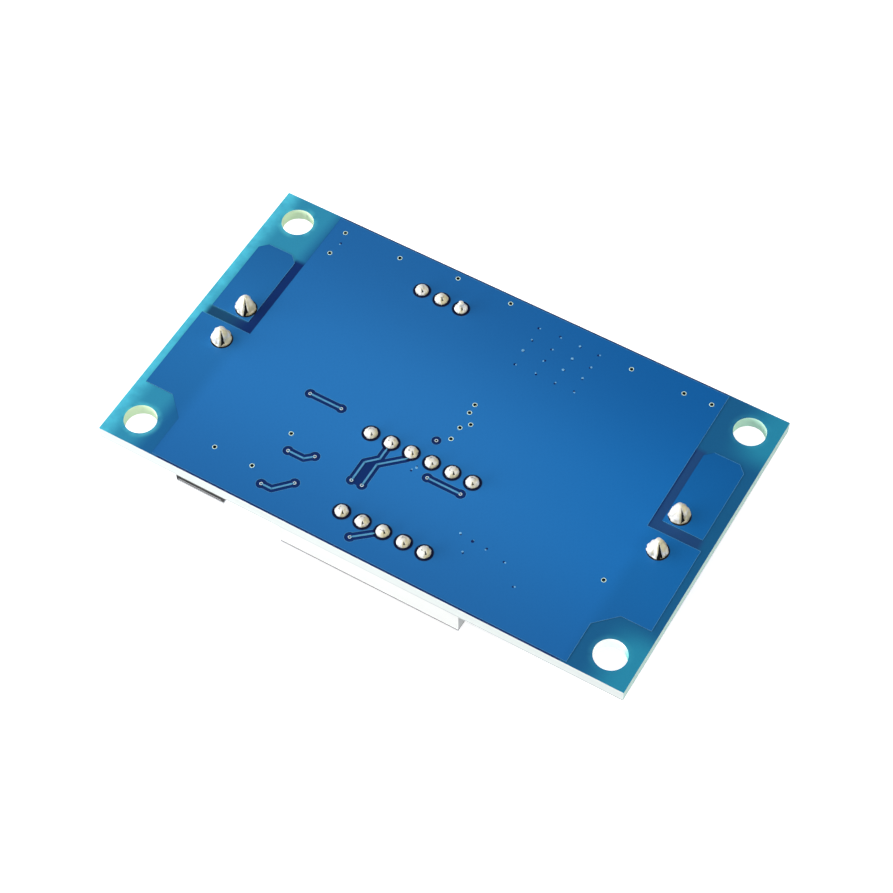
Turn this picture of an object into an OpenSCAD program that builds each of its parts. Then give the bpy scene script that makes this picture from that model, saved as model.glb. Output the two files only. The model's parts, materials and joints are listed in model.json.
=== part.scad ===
// Adjustable buck converter module with a three-digit voltmeter.
// It lies as it is often shown, solder side up, on the flat tops of its two screw terminals.
// X runs along the board, Y across it, and Z = 0 is the surface that it lies on.

/* [Circuit board] */
// Length of the board
board_l = 64.5; // [64:0.1:80]
// Width of the board
board_w = 38.5; // [38:0.1:50]
// Thickness of the bare laminate
board_t = 1.6; // [1:0.1:2.4]
// Height of the lacquered copper above the laminate
copper_t = 0.05; // [0.03:0.01:0.1]
// Diameter of the four mounting holes
mount_hole_d = 3.7; // [2.5:0.1:4.2]
// From a mounting hole's centre to the two nearest edges
mount_hole_inset = 3.25; // [3:0.05:5]
// Diameter of a drilled via
via_d = 0.35; // [0.2:0.05:0.5]
// Width of a signal track
track_w = 0.24; // [0.2:0.02:0.4]
// Width of the gap beside a track, a pad or a copper field
copper_gap = 0.36; // [0.2:0.02:0.4]

/* [Screw terminals] */
// Distance between the two poles
term_pitch = 5; // [5:0.01:5.08]
// Depth of a housing from its wire side to its back
term_depth = 7.6; // [7.4:0.1:9]
// Height of a housing above the board
term_h = 10.2; // [10.1:0.1:12]
// From the board's short edge to a housing's wire side
term_edge_gap = 2.5; // [1:0.1:2.6]
// From a housing's wire side to its solder pins
term_pin_setback = 2.4; // [2:0.1:3]
// Side of a square solder pin
term_pin_w = 0.9; // [0.6:0.05:1]
// Sheet thickness of the contact frames
frame_t = 0.6; // [0.4:0.05:0.7]
// Thickness of a contact frame's threaded side
frame_nut_t = 1.2; // [0.8:0.1:1.4]
// Diameter of a clamp screw's shank
screw_d = 3; // [2.5:0.1:3]
// Diameter of a clamp screw's head
screw_head_d = 3.7; // [3.4:0.1:3.7]
// Travel of a clamp screw from open to tight
clamp_travel = 2; // [1:0.1:2]

/* [Trimmer] */
// Length of the trimmer's housing
trim_l = 9.5; // [8:0.1:9.8]
// Width of the trimmer's housing
trim_w = 4.8; // [4.4:0.1:5]
// Height of the trimmer's housing
trim_h = 9.4; // [7:0.1:9.5]
// Diameter of the adjusting screw
trim_screw_d = 2.2; // [1.8:0.1:2.4]

/* [Voltmeter display] */
// Length of the display
disp_l = 22.5; // [22:0.1:23]
// Width of the display
disp_w = 14; // [13.6:0.1:14.4]
// Height of the display
disp_h = 7.2; // [6:0.1:8.5]
// Height of a digit
digit_h = 9.1; // [8:0.1:10]
// Distance between two digits
digit_pitch = 7.3; // [7:0.1:7.4]
// Width of a lit bar
segment_w = 0.9; // [0.7:0.05:1]

/* [Regulator and power parts] */
// Length of the regulator's body, across its leads
reg_l = 10.2; // [9:0.1:10.6]
// Width of the regulator's body
reg_w = 8.9; // [8:0.1:9.2]
// Height of the regulator's body
reg_h = 4.4; // [4:0.1:4.8]
// Side of the square power inductor
coil_side = 12; // [11:0.1:12.4]
// Height of the power inductor
coil_h = 7.6; // [6:0.1:9]
// Diameter of a filter capacitor's can
cap_d = 8; // [6.3:0.1:8.2]
// Height of a filter capacitor with its base
cap_h = 9.9; // [8:0.1:9.9]

/* [Push buttons] */
// Side of a button's square case
button_side = 6.1; // [5.8:0.1:6.4]
// Height of a button's case with its steel cover
button_h = 3.5; // [3:0.1:4]
// Diameter of a button's plunger
plunger_d = 3.4; // [3:0.1:3.6]
// Height of the plunger above the cover
plunger_proud = 1.5; // [0.6:0.1:2.5]
// Travel of the plunger
plunger_travel = 0.25; // [0.2:0.05:0.35]

/* [Hidden] */
$fn = 48;

// Tin, lead and solder thicknesses, and the clearances that parts share
pad_t = 0.05;
fit_gap = 0.05;
pin_slack = 0.01;
bite = 1;

// Heights: the component face looks down, the solder face looks up
seat_z = term_h;
laminate_z = seat_z + copper_t;
solder_z = laminate_z + board_t + copper_t;
board_stack = solder_z - seat_z;

// Regulator, diode and display stand in one column and share what is left of the board's width
reg_tab_out = 1.6;
reg_lead_reach = 5;
diode_w = 3.6;
reg_edge_share = 0.2;
reg_diode_share = 0.2;
disp_edge_share = 0.41;
column_slack = board_w - reg_tab_out - reg_w - reg_lead_reach - diode_w - disp_w;
reg_edge_gap = column_slack * reg_edge_share;
reg_diode_gap = column_slack * reg_diode_share;
disp_edge_gap = column_slack * disp_edge_share;
reg_body_y = board_w / 2 - reg_edge_gap - reg_tab_out - reg_w / 2;
diode_y = reg_body_y - reg_w / 2 - reg_lead_reach - reg_diode_gap - diode_w / 2;

// Pin pitch and rows of the display and the trimmer
pin_pitch = 2.54;
disp_row_gap = 10.16;
disp_pins_x = 0;
disp_pins_y = disp_edge_gap + disp_w / 2 - board_w / 2;
disp_x = 0.4;
disp_upper_pins = 6;
disp_lower_pins = 5;
trim_x = -9;
trim_edge_gap = 2.2;
trim_y = board_w / 2 - trim_edge_gap - trim_w / 2;
trim_pins = 3;

// Mounting holes and the copper fields around them
mount_x = board_l / 2 - mount_hole_inset;
mount_y = board_w / 2 - mount_hole_inset;
field_margin = 0.2;
field_arm_x = board_l / 2 - 0.9;
field_side_x = mount_x - 4;
field_arm_top = -0.3;
field_arm_low = 4.5 - mount_y;
hole_clear_x = mount_x - 3.5;
hole_clear_chamfer = 2.3;
island_inner_x = field_side_x + 1.05;
island_outer_x = board_l / 2 - 1.35;
island_low_y = 1;
island_high_y = 11.6;
island_chamfer = 0.9;

// Screw terminals, measured from the clamp screw's axis
term_front = term_depth / 2 + 0.1;
term_back = term_depth - term_front;
term_l = 2 * term_pitch;
term_x = board_l / 2 - term_edge_gap - term_front;
term_pin_x = term_front - term_pin_setback;
term_pin_hole_d = term_pin_w * sqrt(2) + 0.15;
term_rib_w = 0.8;
term_rib_out = 0.4;
frame_l = 4.6;
frame_w = 3.9;
frame_foot_z = 0.6;
frame_nut_z = frame_foot_z + frame_t + 4;
frame_top_z = frame_nut_z + frame_nut_t;
wire_low_z = frame_foot_z + frame_t - 0.2;
wire_high_z = frame_nut_z - 0.7;
wire_w = 3.3;
wire_flare = 0.4;
guard_t = 0.5;
guard_z = frame_nut_z - 0.1 - guard_t;
head_low_z = frame_top_z + 0.1 + clamp_travel;
head_t = 1.3;
head_slot_w = 0.7;
head_slot_depth = 0.7;
slope_top_z = head_low_z - 0.8;
slope_low_z = slope_top_z - 1.7;
slope_run = 1.3;

// Trimmer
trim_foot = 0.5;
trim_wall = 0.6;
trim_potting_t = 1;
trim_screw_x = -3.4;
trim_screw_len = 3.2;
trim_screw_proud = 0.5;
trim_chamfer = 0.35;
trim_pin_d = 0.5;

// Display
disp_wall = 0.7;
disp_film_t = 0.2;
disp_plate_t = 0.8;
disp_pin_w = 0.5;
disp_pin_sunk = 2.4;
digit_w = 4.9;
digit_slant = 8;
segment_gap = 0.12;
dot_d = 1.1;

// Regulator
reg_x = 6.25;
reg_tab_t = 1.3;
reg_lead_pitch = 1.7;
reg_lead_w = 0.8;
reg_lead_t = 0.45;
reg_lead_foot = 2;
reg_lead_rise = 2.2;

// Inductor
coil_gap_to_reg = 1.5;
coil_x = reg_x - reg_l / 2 - coil_gap_to_reg - coil_side / 2;
coil_y = trim_y - trim_w / 2 - 1 - coil_side / 2;
coil_bore_d = coil_side - 1.5;
coil_core_d = coil_bore_d - 0.4;
coil_post_d = 5;
coil_flange_t = 1.5;
coil_turns = 5;
coil_clip_w = 4;
coil_clip_t = 0.3;
coil_clip_foot = 2.2;
coil_clip_rise = 2.4;
coil_lift = pad_t + coil_clip_t;
coil_wire_d = (coil_h - coil_lift - 2 * coil_flange_t) / coil_turns;

// Diode
diode_x = 6;
diode_l = 4.4;
diode_h = 2.3;
diode_lead_w = 2.1;
diode_lead_t = 0.2;
diode_split = 0.9;

// Filter capacitors
cap_base_side = cap_d + 0.3;
cap_base_h = 1.4;
cap_crimp_z = 1.3;
cap_crimp = 0.35;
cap_lead_w = 0.9;
cap_lead_t = 0.25;
cap_lead_out = 0.7;
cap_to_term = 0.6;
cap_x = term_x - term_back - cap_to_term - cap_base_side / 2;
cap_y = 5;

// Microcontroller and supply chip
mcu_x = -16;
mcu_y = -6.2;
mcu_l = 6.5;
mcu_w = 4.4;
mcu_h = 1;
mcu_lift = 0.1;
mcu_pins_a_side = 10;
mcu_pitch = 0.65;
mcu_lead_w = 0.25;
mcu_lead_t = 0.15;
mcu_lead_reach = 1;
mcu_lead_foot = 0.5;
mcu_split = (mcu_h - mcu_lead_t) / 2;
supply_x = 16.6;
supply_y = -4.4;
supply_l = 4.5;
supply_w = 2.5;
supply_h = 1.5;
supply_pitch = 1.5;

// Push buttons
button_end_gap = 8.85;
button_right_edge_gap = 3.6;
button_left_edge_gap = 1.2;
button_right_x = board_l / 2 - button_end_gap - button_side / 2;
button_right_y = button_right_edge_gap + button_side / 2 - board_w / 2;
button_left_x = -button_right_x;
button_left_y = button_left_edge_gap + button_side / 2 - board_w / 2;
cover_t = 0.3;
button_case_h = button_h - cover_t;
rivet_d = 0.9;
rivet_inset = 0.8;
plunger_flange_d = plunger_d + 1;
plunger_flange_t = 0.6;
button_lead_w = 0.7;
button_lead_t = 0.2;
button_lead_reach = 1.2;
button_lead_foot = 0.7;
button_lead_rise = 0.9;
button_lead_y = 2.25;

// Small chip parts: [x, y, turn] of each
resistor_l = 1.6;
resistor_w = 0.8;
resistor_h = 0.45;
ceramic_l = 2;
ceramic_w = 1.25;
ceramic_h = 0.9;
chip_end = 0.35;
lamp_l = 2;
lamp_w = 1.25;
lamp_h = 0.7;
chip_row = 3;
disp_to_chips = 1.75;
disp_right = disp_x + disp_l / 2;
disp_left = disp_x - disp_l / 2;
disp_far_y = disp_pins_y + disp_w / 2;
above_button = button_side / 2 + 1.15;
far_chips_y = board_w / 2 - 6.85;
coil_right = coil_x + coil_side / 2;
resistor_places = concat(
    [for (x = [disp_right + disp_to_chips, disp_right + disp_to_chips + 1.9])
        for (i = [0:2]) [x, disp_pins_y + 1.64 - i * chip_row, 90]],
    [for (i = [0:1]) [disp_left - disp_to_chips - 0.4, disp_pins_y - 2.36 - i * chip_row - i * 0.2, 90]],
    [for (i = [1:2]) [coil_right - 1.45, far_chips_y + i * 2.2, 0]],
    [for (i = [0:1]) [trim_x - 7.2, far_chips_y - 0.2 + i * 2.2, 0]],
    [[button_left_x - 4.25, button_left_y + above_button + ceramic_l / 2 + 1.25, 90],
        [button_right_x + 4.25, button_right_y + 4, 90]]);
ceramic_places = [[disp_left - disp_to_chips - 2.6, disp_pins_y - 1.56, 90],
    [reg_x + 7.35, far_chips_y, 90], [reg_x + 9.95, far_chips_y, 90], [trim_x - 10.6, far_chips_y, 90],
    [button_right_x + 0.55, button_right_y + above_button + ceramic_l / 2, 90],
    [coil_right - 1.45, far_chips_y, 0], [coil_right + 0.8, disp_far_y + 0.64 + ceramic_l / 2, 90],
    [button_left_x - 1.45, button_left_y + above_button + ceramic_l / 2 + 1.8, 90]];
lamp_places = [[button_left_x - 6.25, button_left_y + above_button + ceramic_l / 2 + 1.25, 90],
    [button_right_x + 6.25, button_right_y + 4, 90], [reg_x + 14.35, far_chips_y + 0.2, 90]];

// Vias: open ones, of which the first are told by how far they lie from the board's far edge, and
// those that end a track
far_vias = [[-23.4, 1.85], [-23.4, 5.25], [-16.1, 1.85], [-8.9, 1.05], [-2, 1.15], [14, 2.35],
    [20.5, 2.35], [23.8, 2.15]];
open_vias = concat([for (v = far_vias) [v[0], board_w / 2 - v[1]]],
    [[1.5, 4], [1.5, 2.8], [2.4, 1.5], [1.6, 0.55], [1.5, -1.2], [-13.8, -9.35], [-20, -15],
    [-15.2, -15], [24.2, -8.55]]);
ring_via = [0.25, -2.2];
ring_via_clear_d = 1.1;
via_land_d = 0.6;
display_track_a = [[-3.81, disp_pins_y + disp_row_gap / 2], [-3.81, -7.3], [-5, -8.5], [-5, -11.2]];
display_track_b = [[-1.27, disp_pins_y + disp_row_gap / 2], [-1.27, -5.8], [-3.7, -8.1],
    [-3.7, -11.2]];
display_track_c = [[1.27, disp_pins_y - disp_row_gap / 2], [-1.4, -17.4]];
link_tracks = [[[-14.85, -3.8], [-10.85, -3.8]], [[-12.9, -11.4], [-10.9, -11.4], [-10, -10.6]],
    [[-13.1, -16.45], [-11.8, -16.45], [-10.05, -14.6]], [[1.85, -6.85], [5.95, -6.85]]];
tracks = concat([display_track_a, display_track_b, display_track_c], link_tracks);
between_tracks = [[-5, -8.5], [-3.7, -8.1], [-3.7, -11.5], [-5, -11.5]];

// Solder joints
small_joint_d = 1.56;
small_joint_h = 0.55;
small_pad_d = small_joint_d + 0.02;
small_clear_d = small_joint_d + 0.46;
small_pin_proud = 0.65;
big_joint_d = 2.4;
big_joint_h = 2.1;
big_pin_proud = 1.95;
joint_steps = 5;
tip_share = 0.85;

// A terminal's solder pin narrows to its cut end
term_pin_tip_l = 1.1;
term_pin_tip_w = 0.42;

// Pin places, seen from above
function row_places(n, first_x, y) = [for (i = [0:n - 1]) [first_x + i * pin_pitch, y]];
disp_first_x = disp_pins_x - (disp_upper_pins - 1) / 2 * pin_pitch;
disp_lower_skip = disp_upper_pins - disp_lower_pins;
disp_places = concat(
    row_places(disp_upper_pins, disp_first_x, disp_pins_y + disp_row_gap / 2),
    row_places(disp_lower_pins, disp_first_x + disp_lower_skip * pin_pitch,
        disp_pins_y - disp_row_gap / 2));
trim_places = row_places(trim_pins, trim_x - (trim_pins - 1) / 2 * pin_pitch, trim_y);
term_places = [for (side = [-1, 1]) for (pole = [-1, 1])
    [side * (term_x + term_pin_x), pole * term_pitch / 2]];
function track_end(points) = points[len(points) - 1];
track_vias = concat([for (t = [display_track_a, display_track_b, display_track_c]) track_end(t)],
    [for (t = link_tracks) t[0]], [for (t = link_tracks) track_end(t)]);

// A block centred in X and Y that stands on z
module block(size, x = 0, y = 0, z = 0) {
    translate([x - size[0] / 2, y - size[1] / 2, z]) cube(size);
}

// Puts a part that is drawn standing on z = 0 under the board, with its foot against the board
module under_board(x, y, turn = 0) {
    translate([x, y, seat_z]) rotate([180, 0, turn]) children();
}

// Does the same at each of a list of places, [x, y, turn]
module under_board_at(places) {
    for (p = places) under_board(p[0], p[1], p[2]) children();
}

// A profile in X and Z, drawn out along Y about the middle
module along_y(width, y = 0) {
    translate([0, y + width / 2, 0]) rotate([90, 0, 0]) linear_extrude(width) children();
}

// A block whose four sides lean in by a set amount at its top
module drafted_block(l, w, h, lean) {
    intersection() {
        along_y(w) polygon([[-l / 2, 0], [l / 2, 0], [l / 2 - lean, h], [lean - l / 2, h]]);
        rotate([0, 0, 90]) along_y(l)
            polygon([[-w / 2, 0], [w / 2, 0], [w / 2 - lean, h], [lean - w / 2, h]]);
    }
}

// A moulded chip body, widest and upright over the height where its leads leave it
module moulded_body(l, w, h, lean, split, lead_t) {
    translate([0, 0, split + lead_t]) drafted_block(l, w, h - split - lead_t, lean);
    block([l, w, lead_t], 0, 0, split);
    translate([0, 0, split]) mirror([0, 0, 1]) drafted_block(l, w, split, lean / 2);
}

// A bent lead that leaves a body at x = 0, drops to the board and ends in a flat foot
module gull_lead(width, t, rise, reach, foot, y = 0) {
    shoulder = (reach - foot) / 3;
    knee = reach - foot;
    along_y(width, y) polygon([[0, rise], [0, rise + t], [shoulder + t / 2, rise + t],
        [knee + t / 2, t], [reach, t], [reach, 0], [knee - t / 2, 0], [shoulder - t / 2, rise]]);
}

// Two dimensional outlines of the copper on the solder side

// A line of straight pieces with round ends and corners
module trail(points, width) {
    for (i = [0:len(points) - 2]) {
        a = points[i];
        b = points[i + 1];
        run = b - a;
        translate(a) rotate(atan2(run[1], run[0])) translate([0, -width / 2])
            square([norm(run), width]);
    }
    for (p = points) translate(p) circle(d = width);
}

module half_field() {
    polygon([[0, board_w / 2 - field_margin], [field_side_x, board_w / 2 - field_margin],
        [field_side_x, field_arm_top], [field_arm_x, field_arm_top], [field_arm_x, field_arm_low],
        [hole_clear_x + hole_clear_chamfer, field_arm_low],
        [hole_clear_x, field_arm_low - hole_clear_chamfer],
        [hole_clear_x, field_margin - board_w / 2], [0, field_margin - board_w / 2]]);
}

module island() {
    polygon([[island_inner_x, island_low_y], [island_outer_x, island_low_y],
        [island_outer_x, island_high_y - island_chamfer],
        [island_outer_x - island_chamfer, island_high_y],
        [island_inner_x + island_chamfer, island_high_y],
        [island_inner_x, island_high_y - island_chamfer]]);
}

module main_copper() {
    difference() {
        union() {
            half_field();
            mirror([1, 0]) half_field();
        }
        for (t = tracks) trail(t, track_w + 2 * copper_gap);
        for (t = tracks) for (p = [t[0], track_end(t)]) translate(p)
            circle(d = via_land_d + 2 * copper_gap - 0.1);
        for (p = concat(disp_places, trim_places)) translate(p) circle(d = small_clear_d);
        translate(ring_via) circle(d = ring_via_clear_d);
        polygon(between_tracks);
    }
}

module solder_side_copper() {
    main_copper();
    island();
    mirror([1, 0]) island();
    for (t = tracks) trail(t, track_w);
    for (p = track_vias) translate(p) circle(d = via_land_d);
    for (p = concat(disp_places, trim_places)) translate(p) circle(d = small_pad_d);
    translate(ring_via) circle(d = via_land_d);
}

// The component side: one field, parted between the input, the switch node and the output
module component_side_copper() {
    gap = 2 * copper_gap;
    input_split_x = reg_x + reg_l / 2 + 0.85;
    switch_split_x = coil_x + coil_side / 2 + 0.55;
    output_split_x = coil_x - coil_side / 2 - 0.35;
    diode_high_y = diode_y + diode_w / 2 - 0.3;
    diode_low_y = diode_y - diode_w / 2 - 0.4;
    difference() {
        union() {
            half_field();
            mirror([1, 0]) half_field();
            translate([-field_arm_x, field_arm_top - bite])
                square([2 * field_arm_x, island_high_y + bite - field_arm_top]);
        }
        trail([[input_split_x, board_w / 2], [input_split_x, diode_high_y],
            [field_arm_x + bite, 0]], gap);
        trail([[switch_split_x, board_w / 2], [switch_split_x, cap_y],
            [switch_split_x + 0.4, cap_y - 0.6], [switch_split_x + 0.65, diode_low_y + 0.5],
            [diode_x - diode_l / 2, diode_low_y], [input_split_x, diode_low_y],
            [input_split_x, diode_high_y]], gap);
        trail([[switch_split_x, cap_y], [output_split_x, cap_y], [output_split_x, 0],
            [-field_arm_x - bite, 0]], gap);
    }
}

module board_drillings() {
    for (sx = [-1, 1]) for (sy = [-1, 1]) translate([sx * mount_x, sy * mount_y])
        circle(d = mount_hole_d);
    for (p = term_places) translate(p) circle(d = term_pin_hole_d);
    for (p = disp_places) translate(p) circle(d = disp_pin_w * sqrt(2) + 0.15);
    for (p = trim_places) translate(p) circle(d = trim_pin_d + 0.25);
    for (p = concat(open_vias, track_vias, [ring_via])) translate(p) circle(d = via_d);
}

module circuit_board() {
    color("steelblue") difference() {
        union() {
            translate([0, 0, laminate_z]) linear_extrude(board_t)
                square([board_l, board_w], center = true);
            translate([0, 0, laminate_z + board_t - copper_t]) linear_extrude(2 * copper_t)
                solder_side_copper();
            translate([0, 0, seat_z]) linear_extrude(2 * copper_t) component_side_copper();
        }
        translate([0, 0, seat_z - bite]) linear_extrude(board_stack + 2 * bite) board_drillings();
    }
}

// Tinned pads on the component side, one under each foot
module pads_at_ends(length, width, pad_l, reach_out = 0.3) {
    for (s = [-1, 1])
        block([pad_l, width, pad_t], s * (length / 2 + reach_out - pad_l / 2));
}

module mcu_pads() {
    for (s = [-1, 1]) for (i = [0:mcu_pins_a_side - 1])
        block([mcu_lead_w + 0.1, mcu_lead_reach + 0.2, pad_t],
            (i - (mcu_pins_a_side - 1) / 2) * mcu_pitch, s * (mcu_w / 2 + mcu_lead_reach / 2));
}

module button_pads() {
    for (sx = [-1, 1]) for (sy = [-1, 1])
        block([button_lead_reach, button_lead_w + 0.3, pad_t],
            sx * (button_side / 2 + button_lead_reach / 2 + 0.2), sy * button_lead_y);
}

module component_pads() {
    color("silver") {
        under_board(reg_x, reg_body_y) {
            block([reg_l - 0.4, reg_w, pad_t], 0, -reg_tab_out);
            for (i = [-2:2]) block([reg_lead_w + 0.2, reg_lead_foot + 0.4, pad_t],
                i * reg_lead_pitch, reg_w / 2 + reg_lead_reach - reg_lead_foot / 2);
        }
        under_board(diode_x, diode_y) pads_at_ends(diode_l, diode_lead_w + 0.2, 1.6, 0.5);
        under_board(coil_x, coil_y) pads_at_ends(coil_side, coil_clip_w + 0.6, 2.4, 0.2);
        for (s = [-1, 1]) under_board(s * cap_x, cap_y, 90)
            pads_at_ends(cap_base_side + 2 * cap_lead_out, cap_lead_w + 0.6, 3, 0.3);
        under_board(mcu_x, mcu_y) mcu_pads();
        under_board(supply_x, supply_y) for (i = [-1:1])
            block([0.7, 1.2, pad_t], i * supply_pitch, supply_w / 2 + 0.5);
        under_board(supply_x, supply_y) block([1.9, 1, pad_t], 0, -supply_w / 2 - 0.3);
        under_board(button_left_x, button_left_y) button_pads();
        under_board(button_right_x, button_right_y) button_pads();
        under_board_at(resistor_places) pads_at_ends(resistor_l, resistor_w + 0.1, 0.6);
        under_board_at(ceramic_places) pads_at_ends(ceramic_l, ceramic_w + 0.1, 0.7);
        under_board_at(lamp_places) pads_at_ends(lamp_l, lamp_w + 0.1, 0.7);
    }
}

// Screw terminals, drawn about the point midway between the two clamp screws

module wire_funnel() {
    mid_z = (wire_low_z + wire_high_z) / 2;
    half_h = (wire_high_z - wire_low_z) / 2;
    start = frame_l / 2;
    throat = term_front - wire_flare;
    out = term_front + bite;
    grow = wire_flare + bite;
    intersection() {
        along_y(wire_w + 2 * grow) polygon([[start - bite, mid_z - half_h],
            [throat, mid_z - half_h], [out, mid_z - half_h - grow], [out, mid_z + half_h + grow],
            [throat, mid_z + half_h], [start - bite, mid_z + half_h]]);
        translate([0, 0, mid_z - half_h - 2 * grow]) linear_extrude(2 * half_h + 4 * grow)
            polygon([[start - bite, -wire_w / 2], [throat, -wire_w / 2], [out, -wire_w / 2 - grow],
                [out, wire_w / 2 + grow], [throat, wire_w / 2], [start - bite, wire_w / 2]]);
    }
}

module housing_rib(slack) {
    rib_x = -term_back + term_rib_w;
    linear_extrude(term_h) polygon([[rib_x - term_rib_w / 2 + 0.1 - slack, -bite / 4],
        [rib_x + term_rib_w / 2 - 0.1 + slack, -bite / 4],
        [rib_x + term_rib_w / 2 + slack, term_rib_out + slack],
        [rib_x - term_rib_w / 2 - slack, term_rib_out + slack]]);
}

module terminal_housing() {
    color("royalblue") difference() {
        union() {
            along_y(term_l) polygon([[-term_back, 0], [term_front, 0], [term_front, slope_low_z],
                [term_front - slope_run, slope_top_z], [term_front - slope_run, term_h],
                [0.5 - term_back, term_h], [-term_back, term_h - 0.5]]);
            translate([0, term_l / 2, 0]) housing_rib(0);
        }
        translate([0, -term_l / 2, -bite]) linear_extrude(term_h + 2 * bite)
            polygon([[-term_back + term_rib_w / 2 + 0.1, -bite],
                [-term_back + 3 * term_rib_w / 2 - 0.1, -bite],
                [-term_back + 3 * term_rib_w / 2 + fit_gap, term_rib_out + fit_gap],
                [-term_back + term_rib_w / 2 - fit_gap, term_rib_out + fit_gap]]);
        for (s = [-1, 1]) translate([0, s * term_pitch / 2, 0]) {
            block([frame_l + 2 * fit_gap, frame_w + 2 * fit_gap, frame_top_z + bite], 0, 0, -bite);
            cylinder(d = screw_head_d + 4 * fit_gap, h = term_h + bite);
            wire_funnel();
        }
    }
}

// A bent strip that makes a frame round the wire, with a threaded side and a solder pin
module contact_frame() {
    color("tan") {
        difference() {
            block([frame_l, frame_w, frame_top_z - frame_foot_z], 0, 0, frame_foot_z);
            block([frame_l + bite, frame_w - 2 * frame_t, frame_nut_z - frame_foot_z - frame_t],
                0, 0, frame_foot_z + frame_t);
            cylinder(d = screw_d + 2 * fit_gap, h = term_h);
        }
        translate([term_pin_x, 0, frame_foot_z]) mirror([0, 0, 1])
            pointed_pin(board_stack + big_pin_proud + frame_foot_z);
    }
}

// A square pin that stands on z = 0 and narrows towards its end
module pointed_pin(length) {
    block([term_pin_w, term_pin_w, length - term_pin_tip_l]);
    translate([0, 0, length - term_pin_tip_l])
        drafted_block(term_pin_w, term_pin_w, term_pin_tip_l, (term_pin_w - term_pin_tip_w) / 2);
}

// The plate that the screw presses on to the wire
module wire_guard() {
    tongue = 0.7;
    color("silver") along_y(frame_w - 2 * frame_t - 2 * fit_gap) polygon([
        [-frame_l / 2 + 0.1, guard_z], [frame_l / 2 - tongue, guard_z],
        [frame_l / 2 - 0.1, guard_z + guard_t / 2], [frame_l / 2 - 0.1, guard_z + guard_t],
        [-frame_l / 2 + 0.1, guard_z + guard_t]]);
}

module clamp_screw() {
    shank_z = guard_z + guard_t + 0.02;
    color("gainsboro") difference() {
        union() {
            translate([0, 0, shank_z]) cylinder(d = screw_d, h = head_low_z - shank_z);
            translate([0, 0, head_low_z]) cylinder(d = screw_head_d, h = head_t);
        }
        block([screw_head_d + bite, head_slot_w, head_t], 0, 0, head_low_z + head_t - head_slot_depth);
        block([head_slot_w, screw_head_d * 0.7, head_t], 0, 0, head_low_z + head_t - head_slot_depth);
    }
}

// The input is at +X and the output at -X, each with its wire side outwards
module at_input() { under_board(term_x, 0) children(); }
module at_output() { under_board(-term_x, 0, 180) children(); }
module at_pole(side) { translate([0, side * term_pitch / 2, 0]) children(); }
module both_frames() { for (s = [-1, 1]) at_pole(s) contact_frame(); }

// The places of the other assemblies
module at_trimmer() { under_board(trim_x, trim_y) children(); }
module at_display() { under_board(disp_x, disp_pins_y, 180) children(); }
module at_regulator() { under_board(reg_x, reg_body_y) children(); }
module at_coil() { under_board(coil_x, coil_y) children(); }
module at_input_cap() { under_board(cap_x, cap_y, 90) children(); }
module at_output_cap() { under_board(-cap_x, cap_y, 90) children(); }
module at_left_button() { under_board(button_left_x, button_left_y) children(); }
module at_right_button() { under_board(button_right_x, button_right_y) children(); }

// Trimmer, drawn about its middle pin

module trimmer_housing() {
    notch_l = trim_l - 3;
    color("dodgerblue") difference() {
        intersection() {
            linear_extrude(trim_h) polygon([[trim_chamfer - trim_l / 2, -trim_w / 2],
                [trim_l / 2 - trim_chamfer, -trim_w / 2], [trim_l / 2, trim_chamfer - trim_w / 2],
                [trim_l / 2, trim_w / 2 - trim_chamfer], [trim_l / 2 - trim_chamfer, trim_w / 2],
                [trim_chamfer - trim_l / 2, trim_w / 2], [-trim_l / 2, trim_w / 2 - trim_chamfer],
                [-trim_l / 2, trim_chamfer - trim_w / 2]]);
            along_y(trim_w + bite) polygon([[-trim_l / 2, 0], [trim_l / 2, 0],
                [trim_l / 2, trim_h - trim_chamfer], [trim_l / 2 - trim_chamfer, trim_h],
                [trim_chamfer - trim_l / 2, trim_h], [-trim_l / 2, trim_h - trim_chamfer]]);
        }
        block([trim_l - 2 * trim_wall, trim_w - 2 * trim_wall, trim_foot + trim_potting_t + bite],
            0, 0, -bite);
        block([notch_l, trim_w + bite, trim_foot + bite], 0, 0, -bite);
        translate([trim_screw_x, 0, trim_h - trim_screw_len + trim_screw_proud - 0.1])
            cylinder(d = trim_screw_d + 2 * fit_gap, h = trim_screw_len + bite);
    }
}

module trimmer_potting() {
    color("linen") difference() {
        block([trim_l - 2 * trim_wall, trim_w - 2 * trim_wall, trim_potting_t], 0, 0, trim_foot);
        for (i = [-1:1]) translate([i * pin_pitch, 0, 0])
            cylinder(d = trim_pin_d + 2 * pin_slack, h = trim_foot + trim_potting_t - 0.2);
    }
}

module trimmer_pins() {
    length = board_stack + small_pin_proud + trim_foot + trim_potting_t - 0.2;
    color("silver") for (i = [-1:1]) translate([i * pin_pitch, 0, -board_stack - small_pin_proud])
        cylinder(d = trim_pin_d, h = length);
}

module trimmer_screw() {
    color("goldenrod") translate([trim_screw_x, 0, trim_h - trim_screw_len + trim_screw_proud])
        difference() {
            union() {
                cylinder(d = trim_screw_d, h = trim_screw_len - 0.2);
                translate([0, 0, trim_screw_len - 0.2])
                    cylinder(d1 = trim_screw_d, d2 = trim_screw_d - 0.4, h = 0.2);
            }
            block([trim_screw_d + bite, 0.55, bite], 0, 0, trim_screw_len - 0.6);
        }
}

// Display, drawn about the middle of its case

// A pin's place in the display's own frame, which is turned end for end
function display_place(p) = [disp_x - p[0], p[1] - disp_pins_y, 0];

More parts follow.
